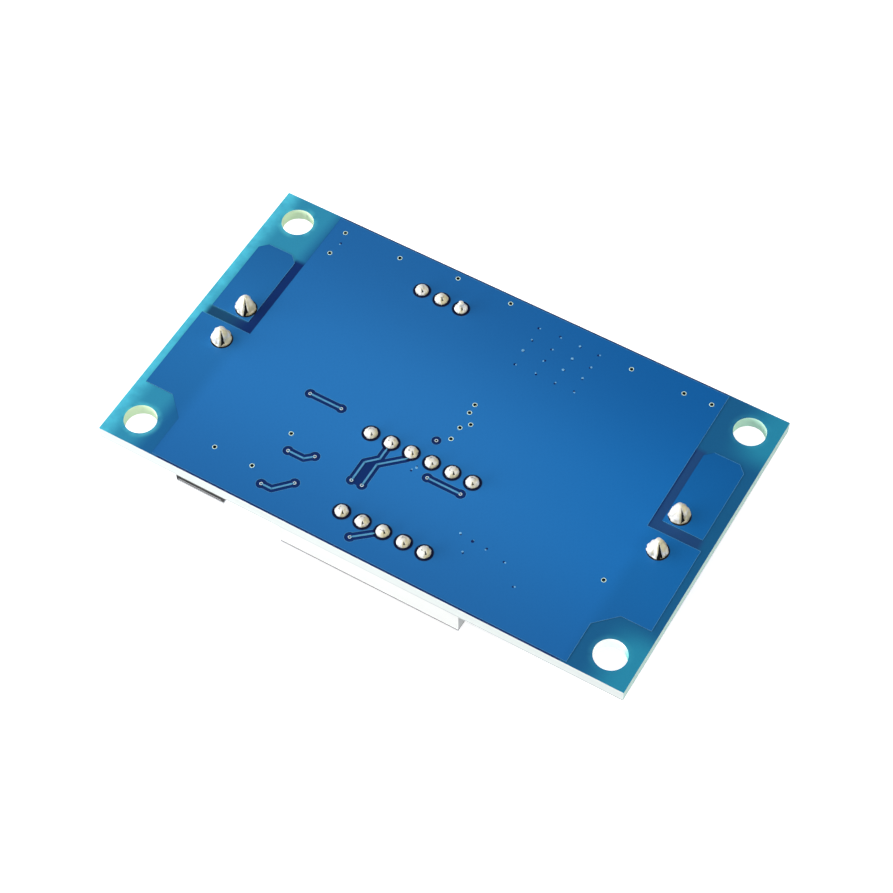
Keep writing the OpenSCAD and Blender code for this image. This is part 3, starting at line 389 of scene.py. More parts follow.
@dataclass(frozen=True)
class BoardFinish:
    """Blue lacquer over copper and bare laminate, with pale sawn edges and drilled walls, all with painted
    light and painted shade laid into their colours.

    Heights and widths are those of the circuit board's own frame, in millimetres. A reach with two lengths
    says where a mask starts and where it is full, counted from its line: an edge, a height or the middle.
    Shares run from 0 to 1. In the methods, recipe is the board's material and ax the distance from the
    board's middle along X.
    """

    half_l: float
    half_w: float
    face_low: float
    face_high: float
    copper_t: float = 0.05
    pour_side: float = 25.0
    island_gap: float = 26.05
    island_out: float = 30.9
    arm_top: float = -0.3
    island_low: float = 1.0
    island_high: float = 11.6
    field_reach: Place = (-0.1, -0.4)
    column_reach: Place = (0.35, 0.0)
    row_reach: Place = (0.5, -0.3)
    grey_reach: Place = (-0.1, 0.3)
    glow_slope: float = 0.06
    glow_reach: Place = (0.3, 2.6)
    end_reach: Place = (-2.4, -0.1)
    corner_reach: Place = (-5.6, -1.0)
    corner_rows: Place = (11.0, 14.5)
    light_off: float = 2.0
    light_reach: Place = (20.0, 2.0)
    deep_slope: float = 0.7
    deep_reach: Place = (-8.0, 40.0)
    outer_reach: Place = (-0.6, 1.6)
    away_reach: Place = (-1.0, -0.5)
    wall_reach: Place = (-0.2, -0.4)
    hole_inset: float = 3.25
    hole_zone: float = 2.2
    halo_reach: Place = (2.6, 1.85)
    halo_share: float = 0.12
    halo_share_left: float = 0.4
    ring_reach: float = 1.05
    rim_radius: float = 0.11
    # Shares of the painted highlight on rims towards the light and of the painted shade on rims away from it.
    rim_highlight_share: float = 0.75
    rim_shade_share: float = 0.5
    edge_reach: Place = (-0.06, -0.02)
    low_band_reach: Place = (0.26, 0.14)
    low_band_share: float = 0.15
    low_band_share_right: float = 0.2
    fibre_share: float = 0.08
    # Strength of the painted glow on the drilled walls, and what it gains at the near right.
    wall_glow: float = 0.06
    wall_glow_near: float = 0.22
    thread_pitch: float = 0.5
    thread_depth: float = 0.004
    thread_share: float = 0.03
    peel_depth: float = 0.012
    side_roughness: float = 0.62
    lacquer_roughness: float = 0.34
    lacquer: Colour = srgb(33, 107, 175)
    # A lighter copy of the lacquer is painted light in the middle; the two darkening factors after it are
    # painted shade at the right and towards the rim.
    painted_light_lacquer: Colour = srgb(41, 123, 196)
    painted_shade_tint: Colour = (0.27, 0.84, 0.95, 1.0)
    outer_shade: Colour = (0.8, 0.87, 0.86, 1.0)
    gap: Colour = srgb(13, 48, 112)
    # The dark rings round the pins are the clearance gap, darkened further by painted shade.
    ring: Colour = srgb(7, 17, 58)
    gap_left: Colour = srgb(26, 76, 114)
    gap_right: Colour = srgb(32, 74, 128)
    # Pale line on the copper's rims that face the light: a painted highlight.
    painted_rim_highlight: Colour = srgb(104, 176, 226)
    # Colours of the bare laminate, darker beside the copper and lighter towards the rim and the right
    # corners: painted shade and painted light.
    bare_in: Colour = srgb(28, 104, 160)
    bare_mid: Colour = srgb(50, 148, 186)
    bare_out: Colour = srgb(88, 214, 242)
    bare_right_in: Colour = srgb(24, 97, 147)
    bare_right: Colour = srgb(40, 142, 178)
    # Painted glow round the mounting holes.
    painted_halo: Colour = srgb(98, 218, 232)
    # Lit and shaded copies of the sawn edges' colour, picked by facing: painted light and painted shade.
    sawn: Colour = srgb(224, 231, 231)
    sawn_right: Colour = srgb(206, 240, 238)
    sawn_far: Colour = srgb(196, 224, 216)
    # Lit and shaded copies of the drilled walls' colour, picked by place and facing: painted light and
    # painted shade.
    drilled: Colour = srgb(232, 255, 222)
    drilled_right: Colour = srgb(255, 255, 255)
    drilled_far: Colour = srgb(206, 246, 228)
    drilled_tint: Colour = srgb(128, 226, 222)
    fibre: Colour = srgb(160, 190, 160)
    # Dark walls of the narrow pin holes: painted shade.
    narrow_hole_shade: Colour = srgb(18, 30, 40)
    low_band: Colour = srgb(72, 92, 104)

    def copper_level(self, recipe: Recipe) -> Socket:
        """Finds where the lacquer lies on copper, on either face.

        Args:
            recipe: The material.

        Returns:
            The mask of the copper.
        """
        step = 0.3 * self.copper_t
        upper = self.face_high - self.copper_t / 2
        lower = self.face_low + self.copper_t / 2
        return recipe.any_of(recipe.step(recipe.z, upper - step, upper + step),
                             recipe.step(recipe.z, lower + step, lower - step))

    def narrow_gaps(self, recipe: Recipe, ax: Socket) -> Socket:
        """Finds the gaps between coppers, which look dark, unlike the laminate's bare ends.

        Args:
            recipe: The material.
            ax: Distance from the middle along X.

        Returns:
            The mask of the gaps.
        """
        field = recipe.step(ax, *self.field_reach, line=self.pour_side)
        column = recipe.all_of(recipe.step(ax, *self.column_reach, line=self.island_gap),
                               recipe.band(recipe.y, self.arm_top - 0.2, self.island_high - 0.4, 0.4))
        row = recipe.all_of(recipe.step(ax, *self.row_reach, line=self.island_out),
                            recipe.band(recipe.y, self.arm_top, self.island_low, 0.2))
        return recipe.any_of(field, column, row)

    def gap_colour(self, recipe: Recipe) -> Socket:
        """Gives the colour in the gaps, which is greyer beside the terminals.

        Args:
            recipe: The material.

        Returns:
            The colour.
        """
        left = recipe.step(recipe.times(recipe.x, -1.0), self.pour_side + 0.5, self.island_out - 2)
        right = recipe.step(recipe.x, *self.grey_reach, line=self.pour_side)
        return recipe.mix(right, recipe.mix(left, self.gap, self.gap_left), self.gap_right)

    def bare_colour(self, recipe: Recipe, ax: Socket) -> Socket:
        """Gives the lacquer's colour over bare laminate, with painted light towards the board's rim and at
        the right corners, and painted shade beside the copper.

        Args:
            recipe: The material.
            ax: Distance from the middle along X.

        Returns:
            The colour.
        """
        slant = recipe.plus(ax, recipe.times(recipe.y, self.glow_slope))
        rim = recipe.step(slant, *self.glow_reach, line=self.pour_side)
        near_rim = recipe.step(ax, *self.end_reach, line=self.half_l)
        holes = recipe.step(recipe.unsigned(recipe.y), *self.corner_rows)
        soft = recipe.step(recipe.noise(0.5, 3, 0.6, shift=2.0), 0.25, 0.7)
        patchy = recipe.times(near_rim, recipe.plus(recipe.times(soft, 0.5), 0.5))
        left = recipe.mix(patchy, recipe.mix(rim, self.bare_in, self.bare_mid), self.bare_out)
        corner = recipe.all_of(recipe.step(ax, *self.corner_reach, line=self.half_l), holes)
        right = recipe.mix(corner, self.bare_right_in, self.bare_right)
        bare = recipe.mix(recipe.step(recipe.x, 0.0, -1.0), right, left)
        return recipe.mix(self.painted_hole_glow(recipe, ax), bare, self.painted_halo)

    def painted_hole_glow(self, recipe: Recipe, ax: Socket) -> Socket:
        """Finds the mounting holes' rims, where a painted glow is laid, stronger at the left.

        Args:
            recipe: The material.
            ax: Distance from the middle along X.

        Returns:
            The halo's share.
        """
        across = recipe.minus(ax, self.half_l - self.hole_inset)
        along = recipe.minus(recipe.unsigned(recipe.y), self.half_w - self.hole_inset)
        close = recipe.step(recipe.distance(across, along), *self.halo_reach)
        patchy = recipe.step(recipe.noise(0.7, 2, 0.5, shift=6.0), 0.3, 0.65)
        left = recipe.step(recipe.x, 1.0, -1.0)
        share = recipe.plus(self.halo_share, recipe.times(left, self.halo_share_left))
        return recipe.all_of(close, patchy, share)

    def lacquer_colour(self, recipe: Recipe) -> Socket:
        """Gives the lacquer's colour over copper, with painted light at the middle and painted shade at the
        right and rim.

        Args:
            recipe: The material.

        Returns:
            The colour.
        """
        span = recipe.unsigned(recipe.plus(recipe.y, self.light_off))
        light = recipe.mix(recipe.step(span, *self.light_reach), self.lacquer, self.painted_light_lacquer)
        slant = recipe.plus(recipe.x, recipe.times(recipe.y, self.deep_slope))
        field = recipe.mix(recipe.step(slant, *self.deep_reach), light, self.painted_shade_tint, "MULTIPLY")
        outer = recipe.step(recipe.unsigned(recipe.x), *self.outer_reach, line=self.pour_side)
        return recipe.mix(outer, field, self.outer_shade, "MULTIPLY")

    def rim_masks(self, recipe: Recipe, copper: Socket) -> tuple[Socket, Socket]:
        """Finds the copper's rim, where painted highlights and painted shade are laid.

        Args:
            recipe: The material.
            copper: The mask of the copper.

        Returns:
            The mask of the rims that catch the light, and the mask of those that face away from it.
        """
        rounded = recipe.node("ShaderNodeBevel", {"Radius": self.rim_radius * MM}, samples=6).outputs[0]
        turn = recipe.node("ShaderNodeVectorMath", {0: rounded, 1: recipe.facing},
                           operation="DOT_PRODUCT").outputs["Value"]
        rim = recipe.times(recipe.step(turn, 0.999, 0.93), copper)
        lean = recipe.node("ShaderNodeSeparateXYZ", {"Vector": rounded}).outputs[0]
        outer = recipe.step(recipe.unsigned(recipe.x), *self.away_reach, line=self.pour_side)
        away = recipe.all_of(recipe.step(lean, -0.02, -0.1), outer)
        return recipe.times(rim, recipe.minus(1.0, away)), recipe.times(rim, away)

    def sawn_colour(self, recipe: Recipe) -> Socket:
        """Gives the colour of the sawn edges, lit and shaded by their facing as painted light and painted
        shade, with a grey band along their low rim that grows towards the right.

        Args:
            recipe: The material.

        Returns:
            The colour.
        """
        lit = recipe.step(recipe.minus(recipe.facing_x, recipe.facing_y), -0.4, 0.6)
        sawn = recipe.mix(lit, self.sawn_far, self.sawn)
        sawn = recipe.mix(recipe.step(recipe.facing_x, 0.5, 0.9), sawn, self.sawn_right)
        low_band = recipe.step(recipe.z, *self.low_band_reach, line=self.face_low)
        right = recipe.times(recipe.step(recipe.x, 2, 14), self.low_band_share_right)
        return recipe.mix(recipe.times(low_band, recipe.plus(self.low_band_share, right)), sawn, self.low_band)

    def drilled_colour(self, recipe: Recipe, ax: Socket, ay: Socket) -> Socket:
        """Gives the colour of the drilled walls: painted shade in the narrow holes, and in the mounting holes
        lit and shaded copies picked by place and facing, as painted light and painted shade.

        Args:
            recipe: The material.
            ax: Distance from the middle along X.
            ay: Distance from the middle along Y.

        Returns:
            The colour.
        """
        tint = recipe.step(recipe.facing_x, -0.3, -0.8)
        near_right = recipe.mix(tint, self.drilled_right, self.drilled_tint)
        right = recipe.mix(recipe.step(recipe.y, 0, 1), near_right, self.drilled_far)
        wall = recipe.mix(recipe.step(recipe.x, 0, 1), self.drilled, right)
        mounts = recipe.all_of(*(
            recipe.band(away, half - self.hole_inset - self.hole_zone,
                        half - self.hole_inset + self.hole_zone, 0.1)
            for away, half in ((ax, self.half_l), (ay, self.half_w))))
        return recipe.mix(mounts, self.narrow_hole_shade, wall)

    def side_colour(self, recipe: Recipe, ax: Socket) -> Socket:
        """Gives the colour of sawn edges and of drilled walls, which have no lacquer.

        Args:
            recipe: The material.
            ax: Distance from the middle along X.

        Returns:
            The colour.
        """
        ay = recipe.unsigned(recipe.y)
        outer = recipe.any_of(recipe.step(ax, *self.edge_reach, line=self.half_l),
                              recipe.step(ay, *self.edge_reach, line=self.half_w))
        side = recipe.mix(outer, self.drilled_colour(recipe, ax, ay), self.sawn_colour(recipe))
        fibres = recipe.noise(7, 3, 0.6, along=(0.35, 0.35, 3))
        return recipe.mix(recipe.times(fibres, self.fibre_share), side, self.fibre)

    def face_colour(self, recipe: Recipe, ax: Socket) -> Socket:
        """Gives the colour of the lacquered faces.

        Args:
            recipe: The material.
            ax: Distance from the middle along X.

        Returns:
            The colour.
        """
        copper = self.copper_level(recipe)
        laminate = recipe.mix(self.narrow_gaps(recipe, ax), self.bare_colour(recipe, ax),
                              self.gap_colour(recipe))
        coated = recipe.mix(copper, laminate, self.lacquer_colour(recipe))
        lit_rim, shaded_rim = self.rim_masks(recipe, copper)
        # Painted highlight on rims towards the light, painted shade on rims away from it.
        coated = recipe.mix(recipe.times(lit_rim, self.rim_highlight_share), coated, self.painted_rim_highlight)
        coated = recipe.mix(recipe.times(shaded_rim, self.rim_shade_share), coated, self.gap)
        # Dark rings round the pins: the clearance gap with painted shade.
        rings = [row.nearness(recipe, self.ring_reach) for row in (*DISPLAY_ROWS, TRIMMER_ROW)]
        return recipe.mix(recipe.any_of(*rings), coated, self.ring)

    def make(self) -> bpy.types.Material:
        """Makes the board's material.

        Returns:
            One material for the whole board, which tells its zones by place, height and facing.
        """
        recipe = Recipe("lacquered_board")
        ax = recipe.unsigned(recipe.x)
        flat = recipe.step(recipe.unsigned(recipe.facing_z), 0.4, 0.6)
        weave = recipe.plus(self.thread(recipe, recipe.x, recipe.y),
                            self.thread(recipe, recipe.y, recipe.x))
        peel = recipe.noise(1.6, 2, 0.5, shift=3.0)
        fine = recipe.bump(peel, self.peel_depth, 0.5, base=recipe.bump(weave, self.thread_depth, 0.5))
        face = recipe.mix(recipe.times(weave, self.thread_share), self.face_colour(recipe, ax),
                          tinted(self.gap, 0.6))
        rough = recipe.minus(self.side_roughness,
                             recipe.times(flat, self.side_roughness - self.lacquer_roughness))
        side = self.side_colour(recipe, ax)
        # The emission on the drilled walls is a painted glow.
        recipe.dress(Base_Color=recipe.mix(flat, side, face), Roughness=rough, Specular_IOR_Level=0.22,
                     Normal=fine, Emission_Color=side, Emission_Strength=self.painted_wall_glow(recipe, ax, flat))
        return recipe.material

    def painted_wall_glow(self, recipe: Recipe, ax: Socket, flat: Socket) -> Socket:
        """Gives a painted glow on the drilled walls, stronger at the near right, that stands in for light
        passed on by the translucent laminate.

        Args:
            recipe: The material.
            ax: Distance from the middle along X.
            flat: The mask of the two faces.

        Returns:
            The light's strength.
        """
        ay = recipe.unsigned(recipe.y)
        inside = recipe.all_of(recipe.step(ax, *self.wall_reach, line=self.half_l),
                               recipe.step(ay, *self.wall_reach, line=self.half_w),
                               recipe.minus(1.0, flat))
        near = recipe.all_of(recipe.step(recipe.x, 0, 1), recipe.step(recipe.y, 0, -1))
        return recipe.times(inside, recipe.plus(self.wall_glow, recipe.times(near, self.wall_glow_near)))

    def thread(self, recipe: Recipe, across: Socket, along: Socket) -> Socket:
        """Gives the ridges of one set of glass threads, which go over and under the other set.

        Args:
            recipe: The material.
            across: The place across the threads.
            along: The place along the threads.

        Returns:
            The height pattern.
        """
        ridge = recipe.maths("SINE", recipe.times(across, 2 * math.pi / self.thread_pitch))
        under = recipe.maths("SINE", recipe.times(along, math.pi / self.thread_pitch))
        return recipe.times(recipe.times(ridge, under), 0.5)


@dataclass(frozen=True)
class SolderFinish:
    """Bright solder, a little frosted where it cooled slowly, with a painted cream reflection on its sides
    that face +X.

    Depths are in millimetres, and shares run from 0 to 1.
    """

    name: str = "solder"
    bright: Colour = srgb(254, 253, 249)
    dull: Colour = srgb(244, 240, 226)
    # The cream of a painted reflection.
    painted_cream_reflection: Colour = srgb(228, 219, 180)
    grain_depth: float = 0.003
    wrinkle_depth: float = 0.03
    roughness: float = 0.32
    frosting: float = 0.1
    metallic: float = 0.1

    def make(self) -> bpy.types.Material:
        """Makes the solder's material.

        Returns:
            The material.
        """
        recipe = Recipe(self.name)
        patches = recipe.step(recipe.noise(1.8, 3, 0.55, shift=5.0), 0.42, 0.66)
        # Cream on the sides that face +X: a painted reflection of the cream lamp.
        cream_side = recipe.times(recipe.step(recipe.facing_x, 0.0, 0.45),
                            recipe.step(recipe.noise(1.1, 2, 0.5, shift=1.0), 0.3, 0.55))
        base = recipe.mix(cream_side, recipe.mix(patches, self.bright, self.dull), self.painted_cream_reflection)
        wrinkles = recipe.bump(recipe.noise(2.6, 2, 0.5), self.wrinkle_depth, 0.5)
        normal = recipe.bump(recipe.noise(14, 2, 0.5), self.grain_depth, 0.4, base=wrinkles)
        rough = recipe.plus(recipe.times(patches, self.frosting), self.roughness)
        recipe.dress(Base_Color=base, Metallic=self.metallic, Roughness=rough, Normal=normal)
        return recipe.material


class FinishBook:
    """Every finish of the module, made once and kept by its slot's name."""

    PLAIN = (
        Finish("tinned_copper", srgb(214, 213, 206), 0.34, 1.0, Grain.WET, 4.0, 0.02, 0.05),
        Finish("tinned_brass", srgb(206, 205, 198), 0.3, 1.0, Grain.DRAWN, 8.0, 0.008, 0.06),
        Finish("plated_steel", srgb(196, 198, 200), 0.28, 1.0, Grain.DRAWN, 10.0, 0.006, 0.05),
        Finish("brass", srgb(206, 170, 96), 0.28, 1.0, Grain.DRAWN, 10.0, 0.006, 0.08),
        Finish("terminal_blue", srgb(28, 88, 178), 0.42, per_mm=7.0, relief=0.01, glow_through=0.05),
        Finish("trimmer_blue", srgb(26, 96, 190), 0.36, per_mm=9.0, relief=0.006, glow_through=0.05),
        Finish("potting", srgb(226, 218, 196), 0.45, grain=Grain.WET, per_mm=1.2, relief=0.05),
        Finish("display_white", srgb(237, 239, 237), 0.4, per_mm=8.0, relief=0.006, mottle=0.012),
        Finish("display_grey", srgb(84, 87, 90), 0.5, per_mm=12.0, relief=0.004, mottle=0.04),
        Finish("segment_milk", srgb(222, 218, 208), 0.3, glow_through=0.4, mottle=0.03),
        Finish("moulded_black", srgb(25, 25, 26), 0.55, per_mm=11.0, relief=0.014, mottle=0.12,
               specular=0.25),
        Finish("ferrite", srgb(58, 57, 58), 0.6, grain=Grain.SINTERED, per_mm=9.0, relief=0.03,
               mottle=0.18),
        Finish("enamelled_copper", srgb(176, 98, 42), 0.25, 0.85, Grain.DRAWN, 5.0, 0.006, 0.12,
               coat=0.6),
        Finish("can_aluminium", srgb(206, 208, 210), 0.3, 1.0, Grain.DRAWN, 12.0, 0.005, 0.04),
        Finish("button_black", srgb(26, 26, 28), 0.42, per_mm=10.0, relief=0.008, mottle=0.1),
        Finish("lamp_resin", srgb(236, 228, 170), 0.2, grain=Grain.WET, per_mm=2.0, relief=0.01,
               glow_through=0.5, coat=0.4),
        Finish("ceramic_tan", srgb(176, 146, 112), 0.45, grain=Grain.SINTERED, per_mm=10.0,
               relief=0.008, mottle=0.08),
        # Dark finish of the streaks in the joints' folds and the rings at their feet: painted dark reflection
        # and painted shade.
        Finish("painted_joint_shade", srgb(20, 16, 11), 0.45, grain=Grain.WET, per_mm=4.0, relief=0.02, mottle=0.2,
               specular=0.2),
        Finish("via_tin", srgb(226, 255, 238), 0.4, 0.0, Grain.WET, 5.0, 0.005, 0.02),
        Finish("end_tin", srgb(228, 246, 255), 0.4, 0.0, Grain.WET, 5.0, 0.005, 0.02),
        # Pale strips along the tracks: a painted highlight.
        Finish("track_highlight", srgb(92, 164, 202), 0.3, grain=Grain.WET, per_mm=4.0, relief=0.01),
        # The pale lip and the dark pit of each covered via: painted highlight and painted shade.
        Finish("via_lip_highlight", srgb(124, 188, 228), 0.3, grain=Grain.WET, per_mm=4.0, relief=0.01),
        Finish("dark_lacquer", srgb(6, 32, 92), 0.5, grain=Grain.WET, per_mm=4.0, relief=0.01,
               specular=0.15),
        # Dark rings in the open vias' throats: painted shade.
        Finish("via_throat_shade", srgb(10, 18, 26), 0.6, grain=Grain.WET, per_mm=4.0, relief=0.01,
               specular=0.1),
        Finish("silk_white", srgb(226, 228, 226), 0.6, per_mm=10.0, relief=0.004, mottle=0.03),
        Finish("mark_black", srgb(30, 30, 32), 0.5, per_mm=10.0, relief=0.004, mottle=0.05),
    )

    def __init__(self, board: BoardFinish) -> None:
        """Makes all the materials.

        Args:
            board: The circuit board's own finish.
        """
        self.by_slot = {finish.slot: finish.make() for finish in self.PLAIN}
        self.by_slot["solder"] = SolderFinish().make()
        self.by_slot["lacquered_board"] = board.make()

    def dress_frame(self, record: dict, nodes: dict) -> None:
        """Gives each piece of the frame the material of its slot.

        Args:
            record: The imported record, whose subparts name their slots.
            nodes: The frame's objects by name.
        """
        slots = slot_names(record)
        for name, piece in nodes.items():
            material = self.by_slot[slots[name]]
            for material_slot in piece.material_slots:
                material_slot.material = material
            LOG.info("dressed %s with %s", name, slots[name])


def slot_names(record: dict) -> dict[str, str]:
    """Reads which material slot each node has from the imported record."""
    return {part["node"]: part["material_slot"] for part in record["subparts"]}


def box_mm(node: str) -> tuple[Vector, Vector]:
    """Gives the low and the high corner of a node's box, in millimetres."""
    low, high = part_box(node)
    return low / MM, high / MM


def piece_from(bm: bmesh.types.BMesh, name: str, material: bpy.types.Material,
               smooth: bool = True) -> bpy.types.Object:
    """Turns a bmesh in millimetres into an object in metres at the origin.

    Args:
        bm: The shape, which is freed.
        name: The object's name.
        material: Its material.
        smooth: Whether its faces are shaded smoothly.

    Returns:
        The object, linked to the scene.
    """
    bmesh.ops.scale(bm, vec=(MM, MM, MM), verts=bm.verts)
    for face in bm.faces:
        face.smooth = smooth
    mesh = bpy.data.meshes.new(name)
    bm.to_mesh(mesh)
    bm.free()
    mesh.materials.append(material)
    made = bpy.data.objects.new(name, mesh)
    bpy.context.scene.collection.objects.link(made)
    LOG.info("%s: %d faces", name, len(mesh.polygons))
    return made


def fixed_piece(bm: bmesh.types.BMesh, name: str, material: bpy.types.Material,
                smooth: bool = True) -> bpy.types.Object:
    """Turns a bmesh in millimetres into a piece that stays with the circuit board.

    Args:
        bm: The shape, which is freed.
        name: The piece's name.
        material: Its material.
        smooth: Whether its faces are shaded smoothly.

    Returns:
        The piece.
    """
    piece = piece_from(bm, name, material, smooth)
    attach(piece, "root")
    return piece


def spun(profile: Sequence[Place], steps: int, looped: bool = False) -> bmesh.types.BMesh:
    """Spins a profile about Z into a closed shell.

    Args:
        profile: Points of radius and height, from the axis at the foot to the axis at the top.
        steps: Number of pieces in the turn.
        looped: Whether the profile's last point joins its first, as in a ring.

    Returns:
        A new bmesh with its normals outwards.
    """
    bm = bmesh.new()
    corners = [bm.verts.new((radius, 0, height)) for radius, height in profile]
    pairs = list(zip(corners, corners[1:])) + ([(corners[-1], corners[0])] if looped else [])
    edges = [bm.edges.new(pair) for pair in pairs]
    bmesh.ops.spin(bm, geom=corners + edges, cent=(0, 0, 0), axis=(0, 0, 1), angle=2 * math.pi,
                   steps=steps, use_merge=True)
    bmesh.ops.remove_doubles(bm, verts=bm.verts, dist=MERGE)
    bmesh.ops.recalc_face_normals(bm, faces=bm.faces)
    return bm


def join_at(target: bmesh.types.BMesh, shape: bmesh.types.BMesh, place: Vector) -> None:
    """Moves a shape to its place, adds it to another bmesh and frees it.

    Args:
        target: The bmesh that it is added to.
        shape: The shape.
        place: How far it is moved.
    """
    bmesh.ops.translate(shape, vec=place, verts=shape.verts)
    held = bpy.data.meshes.new("held")
    shape.to_mesh(held)
    shape.free()
    target.from_mesh(held)
    bpy.data.meshes.remove(held)


@dataclass(frozen=True)
class JointStyle:
    """The form of one kind of hand-soldered joint.

    Attributes:
        profile: Points of radius and height, from the foot's middle to the top's middle.
        lean: How far the top may stand off its pin, in millimetres.
        unrest: Depth of the dents, in millimetres.
        flat: Share by which the round section is flattened to four sides.
        fold: Depth of the fold that the iron left, in millimetres.
        fold_width: Width of the fold as an angle, in degrees.
        fold_span: Heights between which the fold is, as shares of the whole height.
    """

    profile: tuple[Place, ...]
    lean: float
    unrest: float
    flat: float
    fold: float
    fold_width: float
    fold_span: Place


SMALL_JOINT = JointStyle(((0, 0), (0.73, 0), (0.77, 0.08), (0.75, 0.2), (0.67, 0.36), (0.55, 0.49),
                          (0.43, 0.57), (0.34, 0.63), (0.2, 0.68), (0, 0.69)),
                         0.1, 0.1, 0.2, 0.16, 20.0, (0.5, 0.99))
TIPPED_JOINT = JointStyle(((0, 0), (0.73, 0), (0.77, 0.08), (0.75, 0.2), (0.66, 0.36), (0.52, 0.5),
                           (0.4, 0.62), (0.33, 0.76), (0.33, 0.95), (0.3, 1.1), (0.2, 1.2), (0, 1.24)),
                          0.0, 0.1, 0.2, 0.14, 13.0, (0.25, 0.6))
BIG_JOINT = JointStyle(((0, 0), (1.13, 0), (1.2, 0.1), (1.19, 0.26), (1.15, 0.45), (1.08, 0.7),
                        (0.99, 0.95), (0.87, 1.2), (0.73, 1.45), (0.57, 1.68), (0.44, 1.86),
                        (0.34, 1.98), (0.2, 2.06), (0.08, 2.09), (0, 2.1)),
                       0.05, 0.26, 0.5, 0.26, 15.0, (0.0, 0.97))
NUB_JOINT = JointStyle(((0, 0), (1.13, 0), (1.2, 0.1), (1.19, 0.26), (1.14, 0.45), (1.05, 0.7),
                        (0.94, 0.95), (0.79, 1.18), (0.62, 1.4), (0.47, 1.58), (0.39, 1.7),
                        (0.39, 1.84), (0.37, 1.95), (0.27, 2.04), (0.12, 2.09), (0, 2.1)),
                       0.0, 0.26, 0.45, 0.24, 15.0, (0.0, 0.84))


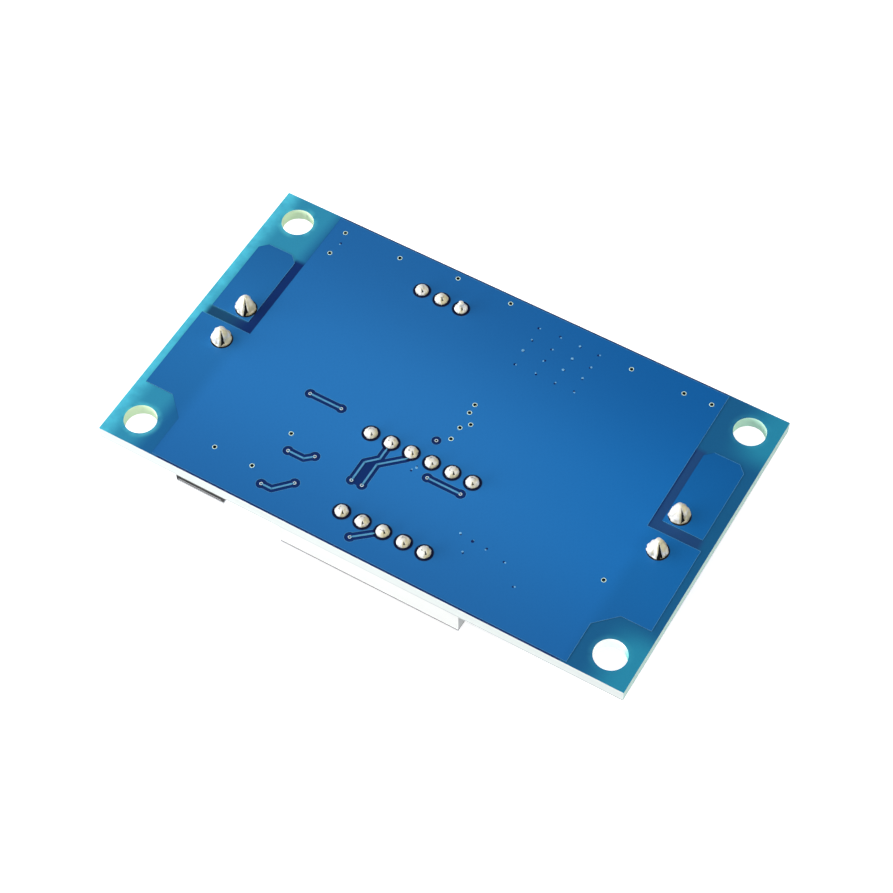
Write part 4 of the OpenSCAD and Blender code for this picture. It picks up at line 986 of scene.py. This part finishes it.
@dataclass(frozen=True)
class Joint:
    """One soldered joint about the origin, with its own dents and its fold.

    Attributes:
        style: Its form.
        seed: Picks its dents.
        fold_azimuth: Where its fold is, counted as the camera's azimuth is, in degrees.
        steps: Number of pieces in its turn.
        swells: Number of soft swells in the foot's radius, and their share of the dents.
        creases: Number of sharp creases in the foot's radius, their share, and their mean height.
        swelling: How far the solder may stand out past its profile, in millimetres.
        ridge_turn: Where a ridge lies beside the fold, in degrees.
        waist: Least share of the profile's radius that dents and fold leave.
        fold_close: Share of the height over which the fold closes at its upper end.
        fold_flare: Share of the fold's width that it has at the top, and what it gains down to the foot.
        streak_flare: The same for half the width of the dark streak in the fold, a painted dark reflection.
        streak_end: Share of the height by which the dark streak ends below the fold's upper end.
        lift: How far the dark streak stands off the solder, in millimetres, and sinks into it at its sides.
    """

    style: JointStyle
    seed: float
    fold_azimuth: float
    steps: int = 72
    swells: Place = (1.5, 0.55)
    creases: tuple[float, float, float] = (1.9, 1.3, 0.2)
    swelling: float = 0.03
    ridge_turn: float = 16.0
    waist: float = 0.25
    fold_close: float = 0.12
    fold_flare: Place = (0.5, 0.8)
    streak_flare: Place = (0.3, 1.0)
    streak_end: float = 0.03
    lift: Place = (0.025, -0.03)

    @property
    def height(self) -> float:
        """The height of its top."""
        return self.style.profile[-1][1]

    def dents(self, spot: Vector) -> float:
        """Gives how far the solder stands off its smooth profile: soft swells with sharp creases.

        Args:
            spot: The place on the smooth profile.

        Returns:
            The distance, outwards from the profile.
        """
        foot = self.style.profile[1][0]
        per_swell, swell_share = self.swells
        per_crease, crease_share, mean = self.creases
        swell = noise.noise(spot * (per_swell / foot) + Vector((self.seed * 7.3, self.seed, 0)))
        crease = abs(noise.noise(spot * (per_crease / foot) + Vector((3.7, self.seed * 5.1, 8.2))))
        dent = swell_share * swell + crease_share * (crease - mean)
        return dent * self.style.unrest * (1 - (spot.z / self.height) ** 3)

    def flattening(self, azimuth: float, radius: float, share: float) -> float:
        """Gives the depth of the four flat sides, whose ridges lie beside the fold."""
        off = math.radians((azimuth - self.fold_azimuth + self.ridge_turn) % 90 - 45)
        return radius * self.style.flat * (1 - math.cos(math.pi / 4) / math.cos(off)) * (1 - share ** 2)

    def fold(self, azimuth: float, share: float) -> float:
        """Gives the depth of the fold that the iron left.

        Args:
            azimuth: Direction from the axis, in degrees.
            share: Height as a share of the whole.

        Returns:
            The depth.
        """
        low, high = self.style.fold_span
        off = (azimuth - self.fold_azimuth + 180) % 360 - 180
        if not low < share < high:
            return 0.0
        least, gain = self.fold_flare
        width = self.style.fold_width * (least + gain * (1 - share))
        return self.style.fold * min(1.0, (high - share) / self.fold_close) * math.exp(-(off / width) ** 4)

    def point(self, azimuth: float, radius: float, height: float, lift: float = 0.0) -> Vector:
        """Finds the joint's real surface from its smooth profile.

        Args:
            azimuth: Direction from the axis, in degrees.
            radius: The profile's radius.
            height: The profile's height.
            lift: How far off the surface the point stands.

        Returns:
            The point.
        """
        turn = math.radians(azimuth)
        out = Vector((math.sin(turn), -math.cos(turn), 0))
        share = height / self.height
        reach = self.dents(out * radius + Vector((0, 0, height))) - self.fold(azimuth, share)
        reach = min(reach - self.flattening(azimuth, radius, share), self.swelling) + lift
        lean = 6 * noise.noise(Vector((self.seed, 3.1, 0)))
        side = Vector((math.cos(lean), math.sin(lean), 0)) * self.style.lean * share ** 2
        return out * max(radius + reach, self.waist * radius) + side + Vector((0, 0, height))

    def solder(self) -> bmesh.types.BMesh:
        """Shapes the solder: a spun drop that leans, with its dents, flat sides and fold.

        Returns:
            The drop.
        """
        bm = spun(self.style.profile, self.steps)
        for corner in bm.verts:
            radius = math.hypot(corner.co.x, corner.co.y)
            if corner.co.z > 0.01 and radius > 0.01:
                azimuth = math.degrees(math.atan2(corner.co.x, -corner.co.y))
                corner.co = self.point(azimuth, radius, corner.co.z)
        return bm

    def streak(self, columns: int = 6) -> bmesh.types.BMesh:
        """Shapes the dark streak in the joint's fold, a painted dark reflection, as a thin wedge that narrows
        upwards.

        Args:
            columns: Number of faces across the wedge.

        Returns:
            The wedge, with its sides sunk into the solder.
        """
        proud, sunk = self.lift
        least, gain = self.streak_flare
        low, high = self.style.fold_span
        levels = [spot for spot in self.style.profile[1:-1]
                  if low <= spot[1] / self.height < high - self.streak_end]
        bm = bmesh.new()
        bmesh.ops.create_grid(bm, x_segments=columns, y_segments=len(levels) - 1, size=1.0)
        for corner in bm.verts:
            radius, height = levels[round((corner.co.y + 1) / 2 * (len(levels) - 1))]
            half = self.style.fold_width * (least + gain * (1 - height / self.height))
            lift = sunk if abs(corner.co.x) > 0.99 else proud
            corner.co = self.point(self.fold_azimuth + corner.co.x * half, radius, height, lift)
        bmesh.ops.recalc_face_normals(bm, faces=bm.faces)
        bmesh.ops.solidify(bm, geom=bm.faces[:], thickness=-sunk)
        bmesh.ops.recalc_face_normals(bm, faces=bm.faces)
        return bm

    def collar(self) -> bmesh.types.BMesh:
        """Shapes the thin dark ring that the joint stands in, wider at one side: painted shade at its foot.

        Returns:
            The ring.
        """
        foot = self.style.profile[2][0]
        bm = spun(((foot - 0.1, 0), (foot + 0.06, 0), (foot + 0.05, 0.02), (foot - 0.1, 0.05)),
                  self.steps, looped=True)
        bmesh.ops.translate(bm, vec=(0.06, 0.01, 0), verts=bm.verts)
        return bm


@dataclass
class SolderJoints:
    """The hand-soldered joints on the solder face, each a little different from the next."""

    face_z: float
    terminal_x: float = 27.35
    terminal_pole: float = 2.5
    fold_azimuth: float = 44.0
    fold_spread: float = 14.0

    def style_of(self, name: str, x: float, y: float) -> JointStyle:
        """Picks the form of a joint, as two of them end in a small knob.

        Args:
            name: The group that it belongs to.
            x: Its place along X.
            y: Its place along Y.

        Returns:
            The form.
        """
        if name == "terminal":
            return NUB_JOINT if x > 0 > y else BIG_JOINT
        return TIPPED_JOINT if (x, y) == TRIMMER_ROW.places()[-1] else SMALL_JOINT

    def joint_at(self, name: str, x: float, y: float) -> Joint:
        """Makes the joint at a place, with dents and a fold of its own.

        Args:
            name: The group that it belongs to.
            x: Its place along X.
            y: Its place along Y.

        Returns:
            The joint.
        """
        seed = x * 0.37 + y * 0.11
        turn = self.fold_spread * noise.noise(Vector((seed * 3.7, 0.4, 2.2)))
        return Joint(self.style_of(name, x, y), seed, self.fold_azimuth + turn)

    def build(self, solder: bpy.types.Material, painted_joint_shade: bpy.types.Material) -> None:
        """Builds the joints, puts them in place of the frame's plain ones, and adds the dark streaks and
        rings of painted reflection and painted shade.

        Args:
            solder: The solder.
            painted_joint_shade: The dark finish of the painted reflection in the joints' folds and of the
                painted shade round the big joints.
        """
        display = [place for row in DISPLAY_ROWS for place in row.places()]
        terminal = [(sx * self.terminal_x, sy * self.terminal_pole) for sx in (-1, 1) for sy in (-1, 1)]
        groups = (("display", display), ("trimmer", TRIMMER_ROW.places()), ("terminal", terminal))
        streaks = bmesh.new()
        for name, places in groups:
            group = bmesh.new()
            for x, y in places:
                joint = self.joint_at(name, x, y)
                place = Vector((x, y, self.face_z))
                join_at(group, joint.solder(), place)
                # The dark streak in each fold and the dark ring round each big joint are painted reflection
                # and painted shade.
                join_at(streaks, joint.streak(), place)
                if name == "terminal":
                    join_at(streaks, joint.collar(), place)
            piece = fixed_piece(group, f"{name}_joints", solder)
            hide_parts(f"{name}_solder")
        fixed_piece(streaks, "painted_fold_streaks", painted_joint_shade)


def bar_between(bm: bmesh.types.BMesh, start: Place, end: Place, width: float, low: float,
                high: float) -> None:
    """Adds a straight bar of square section to a bmesh.

    Args:
        bm: The bmesh that it is added to.
        start: Middle of its first end.
        end: Middle of its second end.
        width: Its width.
        low: Height of its underside.
        high: Height of its top.
    """
    run = Vector((end[0] - start[0], end[1] - start[1], 0))
    middle = Vector(((start[0] + end[0]) / 2, (start[1] + end[1]) / 2, (low + high) / 2))
    bmesh.ops.create_cube(bm, size=1.0, matrix=Matrix.Translation(middle)
                          @ Matrix.Rotation(math.atan2(run.y, run.x), 4, "Z")
                          @ Matrix.Diagonal((run.length, width, high - low, 1)))


@dataclass
class SolderFace:
    """Small things on the solder face: tinned rings with painted shade in their throats, covered vias with
    painted highlight and shade, and painted highlight along the tracks.

    A ring's size is its inner radius, its outer radius and its height.
    """

    face_z: float
    half_w: float
    via_ring: RingSize = (0.2, 0.28, 0.012)
    via_throat: RingSize = (0.12, 0.2, 0.008)
    end_ring: RingSize = (0.12, 0.2, 0.012)
    end_land: RingSize = (0.2, 0.3, 0.008)
    lip: RingSize = (0.03, 0.11, 0.02)
    pit: RingSize = (0.0, 0.12, 0.012)
    crater_steps: int = 12
    crater_apart: float = 0.09
    crater_stray: float = 0.2
    crater_spread: float = 0.9
    track_w: float = 0.14
    track_foot: float = 0.01
    track_top: float = 0.012
    far_row: tuple[Place, ...] = ((-23.4, 1.85), (-23.4, 5.25), (-16.1, 1.85), (-8.9, 1.05), (-2, 1.15),
                                  (14, 2.35), (20.5, 2.35), (23.8, 2.15))
    middle: tuple[Place, ...] = ((1.5, 4), (1.5, 2.8), (2.4, 1.5), (1.6, 0.55), (1.5, -1.2),
                                 (-13.8, -9.35), (-20, -15), (-15.2, -15), (24.2, -8.55))
    tracks: tuple[tuple[Place, ...], ...] = (
        ((-3.81, -5.8), (-3.81, -7.3), (-5, -8.5), (-5, -11.2)),
        ((-1.27, -5.7), (-1.27, -5.8), (-3.7, -8.1), (-3.7, -11.2)),
        ((0.6, -15.7), (-1.4, -17.4)), ((-14.85, -3.8), (-10.85, -3.8)),
        ((-12.9, -11.4), (-10.9, -11.4), (-10, -10.6)), ((-13.1, -16.45), (-11.8, -16.45), (-10.05, -14.6)),
        ((1.85, -6.85), (5.95, -6.85)))
    open_starts: int = 3
    ring_via: Place = (0.25, -2.2)
    grid_x: tuple[float, ...] = (2.5, 5.1, 7.65, 10.0)
    grid_y: tuple[float, ...] = (16.75, 14.85, 13.0, 11.0)
    strays: tuple[Place, ...] = ((-23.1, 15.75), (-0.2, -6.8), (0.1, -6.2), (8.5, -11.2), (10.0, -11.2),
                                 (11.75, -11.45), (9.85, -13.05), (14.2, -11.9), (16.5, -14.0))

    def ring(self, inner: float, outer: float, height: float, steps: int = 20) -> bmesh.types.BMesh:
        """Shapes a flat ring with a rounded top about the origin.

        Args:
            inner: Its inner radius.
            outer: Its outer radius.
            height: Its height.
            steps: Number of pieces in its turn.

        Returns:
            The ring.
        """
        middle = (inner + outer) / 2
        shoulder = 0.7 * height
        profile = ((outer, 0), (outer - 0.01, shoulder), (middle, height), (inner + 0.01, shoulder),
                   (inner, 0))
        return spun(profile, steps, looped=True)

    def scattered(self, name: str, places: Sequence[Place], shapes: Sequence[bmesh.types.BMesh],
                  material: bpy.types.Material) -> None:
        """Puts one shape at each place and makes a piece of them all.

        Args:
            name: The piece's name.
            places: Where they go.
            shapes: One shape for each place.
            material: Their material.
        """
        group = bmesh.new()
        for (x, y), shape in zip(places, shapes):
            join_at(group, shape, Vector((x, y, self.face_z)))
        fixed_piece(group, name, material)

    def track_ends(self) -> list[Place]:
        """Gives the vias at the tracks' ends and the one that stands alone."""
        ends = [track[-1] for track in self.tracks]
        return ends + [track[0] for track in self.tracks[self.open_starts:]] + [self.ring_via]

    def track_highlight_strips(self, material: bpy.types.Material) -> None:
        """Lays pale strips over the tracks, a painted highlight along their tops.

        Args:
            material: The strips' pale finish, a painted highlight.
        """
        bm = bmesh.new()
        half = self.track_w / 2
        for track in self.tracks:
            for start, end in zip(track, track[1:]):
                bar_between(bm, start, end, self.track_w, self.face_z - self.track_foot,
                            self.face_z + self.track_top)
            for place in track[1:-1]:
                dot = spun(((0, 0), (half, 0), (half, self.track_top), (0, self.track_top)), 16)
                join_at(bm, dot, Vector((*place, self.face_z)))
        fixed_piece(bm, "track_highlight_strips", material, smooth=False)

    def covered_vias(self, book: FinishBook) -> None:
        """Makes the small craters of the vias that lacquer closes, some soft and some sharp, each a pale lip
        of painted highlight beside a dark pit of painted shade.

        Args:
            book: The finishes.
        """
        places = [(x, y) for x in self.grid_x for y in self.grid_y] + list(self.strays)
        lips, pits, lip_places, pit_places = [], [], [], []
        for x, y in places:
            stray = Vector((noise.noise(Vector((x, y, 1.7))), noise.noise(Vector((y, x, 4.1)))))
            size = 1.0 + self.crater_spread * noise.noise(Vector((x * 0.7, y * 0.9, 6.3)))
            turn = 7 * noise.noise(Vector((x * 1.3, y * 1.1, 2.3)))
            side = Vector((math.cos(turn), math.sin(turn))) * self.crater_apart
            here = Vector((x, y)) + self.crater_stray * stray
            inner, outer, height = self.lip
            lips.append(self.ring(inner, outer * size, height, self.crater_steps))
            lip_places.append(tuple(here + side))
            inner, outer, height = self.pit
            pits.append(self.ring(inner, outer / size, height, self.crater_steps))
            pit_places.append(tuple(here - side))
        self.scattered("covered_vias", lip_places, lips, book.by_slot["via_lip_highlight"])
        self.scattered("covered_via_pits", pit_places, pits, book.by_slot["dark_lacquer"])

    def build(self, book: FinishBook) -> None:
        """Builds them all.

        Args:
            book: The finishes.
        """
        opened = [(x, self.half_w - away) for x, away in self.far_row] + list(self.middle)
        ends = self.track_ends()
        for name, places, size, slot in (("via_rings", opened, self.via_ring, "via_tin"),
                                         # The dark throats of the open vias are painted shade.
                                         ("via_throats", opened, self.via_throat, "via_throat_shade"),
                                         ("track_end_rings", ends, self.end_ring, "end_tin"),
                                         ("track_end_lands", ends, self.end_land, "dark_lacquer")):
            self.scattered(name, places, [self.ring(*size) for _ in places], book.by_slot[slot])
        self.track_highlight_strips(book.by_slot["track_highlight"])
        self.covered_vias(book)


@dataclass
class ComponentFace:
    """Trim on the hidden face: outlines round the parts, the buttons' rims and the capacitors' marks."""

    face_z: float
    line: float = 0.16
    gap: float = 0.45
    print_foot: float = 0.015
    print_top: float = 0.055
    mark_share: float = 0.62
    mark_inset: float = 0.55
    mark_t: float = 0.022
    mark_foot: float = 0.001
    mark_segments: int = 56
    rim_low: float = 0.7
    rim_high: float = 0.79
    rim_inset: float = 0.25
    rim_t: float = 0.05
    framed: tuple[str, ...] = ("regulator_body", "inductor_shield", "diode_body", "microcontroller_body",
                               "supply_chip_body", "trimmer_housing", "display_case", "button_left_case",
                               "button_right_case", "input_capacitor_base", "output_capacitor_base")

    def outlines(self, material: bpy.types.Material) -> None:
        """Prints a rectangle round each part, a little larger than the part.

        Args:
            material: The print's material.
        """
        bm = bmesh.new()
        half = self.line / 2
        for name in self.framed:
            low, high = box_mm(name)
            x0, y0 = low.x - self.gap, low.y - self.gap
            x1, y1 = high.x + self.gap, high.y + self.gap
            for start, end in (((x0 - half, y0), (x1 + half, y0)), ((x0 - half, y1), (x1 + half, y1)),
                               ((x0, y0), (x0, y1)), ((x1, y0), (x1, y1))):
                bar_between(bm, start, end, self.line, self.face_z - self.print_foot,
                            self.face_z + self.print_top)
        fixed_piece(bm, "printed_outlines", material, smooth=False)

    def cover_rims(self, material: bpy.types.Material) -> None:
        """Lays the folded rim of each push button's cover along two sides of its case.

        Args:
            material: The cover's material.
        """
        bm = bmesh.new()
        for name in ("button_left_case", "button_right_case"):
            low, high = box_mm(name)
            for y in (low.y, high.y):
                bar_between(bm, (low.x + self.rim_inset, y), (high.x - self.rim_inset, y), self.rim_t,
                            low.z + self.rim_low, low.z + self.rim_high)
        fixed_piece(bm, "button_cover_rims", material, smooth=False)

    def pole_marks(self, material: bpy.types.Material) -> None:
        """Prints the dark segment on top of each capacitor's can.

        Args:
            material: The mark's material.
        """
        bm = bmesh.new()
        for name in ("input_capacitor_can", "output_capacitor_can"):
            low, high = box_mm(name)
            radius = (high.x - low.x) / 2 - self.mark_inset
            mark = bmesh.new()
            bmesh.ops.create_cone(mark, cap_ends=True, segments=self.mark_segments, radius1=radius,
                                  radius2=radius, depth=self.mark_t)
            bmesh.ops.bisect_plane(mark, geom=mark.verts[:] + mark.edges[:] + mark.faces[:],
                                   plane_co=(0, self.mark_share * radius, 0), plane_no=(0, 1, 0),
                                   clear_inner=True)
            bmesh.ops.holes_fill(mark, edges=mark.edges[:], sides=0)
            bmesh.ops.recalc_face_normals(mark, faces=mark.faces)
            middle = (low + high) / 2
            join_at(bm, mark, Vector((middle.x, middle.y, low.z - self.mark_foot)))
        fixed_piece(bm, "capacitor_marks", material, smooth=False)

    def build(self, book: FinishBook) -> None:
        """Builds it all.

        Args:
            book: The finishes.
        """
        self.outlines(book.by_slot["silk_white"])
        self.pole_marks(book.by_slot["mark_black"])
        self.cover_rims(book.by_slot["plated_steel"])


@dataclass(frozen=True)
class Softbox:
    """A flat lamp that faces the module.

    Attributes:
        name: Its name.
        azimuth: Where it stands, counted as the camera's azimuth is, in degrees.
        elevation: How high it stands, in degrees.
        away: Its distance from the module.
        size: Its width and height.
        glow: How bright its face is, where 1 is white.
        colour: Its colour.
    """

    name: str
    azimuth: float
    elevation: float
    away: float
    size: Place
    glow: float
    colour: Colour = (1, 1, 1, 1)


@dataclass
class Studio:
    """The camera, the floor and the lights.

    Angles are in degrees: azimuth 0 looks along Y, and elevation is above the horizon. The floor's lift is
    the light that it adds for the camera and for glossy pieces. The sky is white below the horizon's first
    angle and dim above its second.
    """

    aim: Vector
    azimuth: float = 30.338
    elevation: float = 55.832
    distance: float = 263.226
    lens: float = 98.26
    sensor: float = 36.0
    clip: Place = (0.01, 50.0)
    floor_half: float = 6000.0
    floor_tone: float = 0.8
    floor_lift: float = 0.72
    horizon: Place = (5, 14)
    dark_sky: float = 0.16
    lamps: tuple[Softbox, ...] = (
        Softbox("wall_left", -70, 28, 460, (560, 340), 1.7),
        Softbox("low_left", -46, 10, 400, (420, 90), 10.0),
        Softbox("wall_right", 92, 26, 460, (330, 300), 1.5, srgb(255, 247, 226)),
        Softbox("overhead", 34, 74, 480, (300, 260), 3.8))

    def put(self, data: bpy.types.ID, azimuth: float, elevation: float, away: float) -> bpy.types.Object:
        """Puts a camera or a lamp where it looks at the module.

        Args:
            data: The camera's or the lamp's data.
            azimuth: Where it stands.
            elevation: How high it stands.
            away: Its distance from the module.

        Returns:
            The new object.
        """
        made = bpy.data.objects.new(data.name, data)
        made.matrix_world = (Matrix.Translation(self.aim * MM)
                             @ Matrix.Rotation(math.radians(azimuth), 4, "Z")
                             @ Matrix.Rotation(math.radians(90 - elevation), 4, "X")
                             @ Matrix.Translation((0, 0, away * MM)))
        bpy.context.scene.collection.objects.link(made)
        return made

    def camera(self) -> None:
        """Sets the camera at the photograph's place."""
        data = bpy.data.cameras.new("camera")
        data.lens = self.lens
        data.sensor_width = self.sensor
        data.clip_start, data.clip_end = self.clip
        bpy.context.scene.camera = self.put(data, self.azimuth, self.elevation, self.distance)

    def light(self, lamp: Softbox) -> None:
        """Sets up a lamp.

        Args:
            lamp: The lamp.
        """
        data = bpy.data.lights.new(lamp.name, "AREA")
        data.shape = "RECTANGLE"
        data.size, data.size_y = (length * MM for length in lamp.size)
        data.energy = lamp.glow * math.pi * data.size * data.size_y
        data.color = lamp.colour[:3]
        self.put(data, lamp.azimuth, lamp.elevation, lamp.away)

    def floor(self) -> None:
        """Lays the white floor, which keeps the module's soft shadow."""
        bm = bmesh.new()
        bmesh.ops.create_grid(bm, x_segments=2, y_segments=2, size=self.floor_half)
        recipe = Recipe("white_floor")
        path = recipe.node("ShaderNodeLightPath")
        seen = recipe.any_of(path.outputs["Is Camera Ray"], path.outputs["Is Glossy Ray"],
                             path.outputs["Is Transmission Ray"])
        recipe.dress(Base_Color=(self.floor_tone,) * 3 + (1,), Roughness=1.0, Specular_IOR_Level=0.0)
        lift = recipe.node("ShaderNodeEmission", {"Strength": recipe.times(seen, self.floor_lift)})
        both = recipe.node("ShaderNodeAddShader", {0: recipe.shader.outputs[0], 1: lift.outputs[0]})
        out = next(node for node in recipe.tree.nodes if node.type == "OUTPUT_MATERIAL")
        recipe.feed(out.inputs["Surface"], both.outputs[0])
        piece_from(bm, "floor", recipe.material, smooth=False)

    def sky(self) -> None:
        """Makes the room: white at the horizon and dim overhead, as between a studio's lamps."""
        world = bpy.data.worlds.new("studio")
        world.use_nodes = True
        tree = world.node_tree
        place = tree.nodes.new("ShaderNodeTexCoord")
        split = tree.nodes.new("ShaderNodeSeparateXYZ")
        rise = tree.nodes.new("ShaderNodeMapRange")
        rise.interpolation_type = "SMOOTHSTEP"
        low, high = (math.sin(math.radians(angle)) for angle in self.horizon)
        for socket, value in (("From Min", low), ("From Max", high), ("To Min", 1.0),
                              ("To Max", self.dark_sky)):
            rise.inputs[socket].default_value = value
        glow = tree.nodes["Background"]
        tree.links.new(place.outputs["Generated"], split.inputs[0])
        tree.links.new(split.outputs["Z"], rise.inputs["Value"])
        tree.links.new(rise.outputs[0], glow.inputs["Strength"])
        glow.inputs["Color"].default_value = (1, 1, 1, 1)
        bpy.context.scene.world = world

    def build(self) -> None:
        """Builds the whole studio."""
        bpy.context.scene.view_settings.view_transform = "Standard"
        self.camera()
        self.sky()
        self.floor()
        for lamp in self.lamps:
            self.light(lamp)


def main() -> None:
    """Dresses the frame, adds the pieces that it lacks and sets up the studio."""
    logging.basicConfig(level=logging.INFO, format="%(name)s: %(message)s")
    low, high = box_mm("circuit_board")
    book = FinishBook(BoardFinish(high.x, high.y, low.z, high.z))
    book.dress_frame(frame["record"], frame["nodes"])
    SolderJoints(high.z).build(book.by_slot["solder"], book.by_slot["painted_joint_shade"])
    SolderFace(high.z, high.y).build(book)
    ComponentFace(low.z).build(book)
    Studio(Vector((*AIM, high.z))).build()


if __name__ == "__main__":
    main()
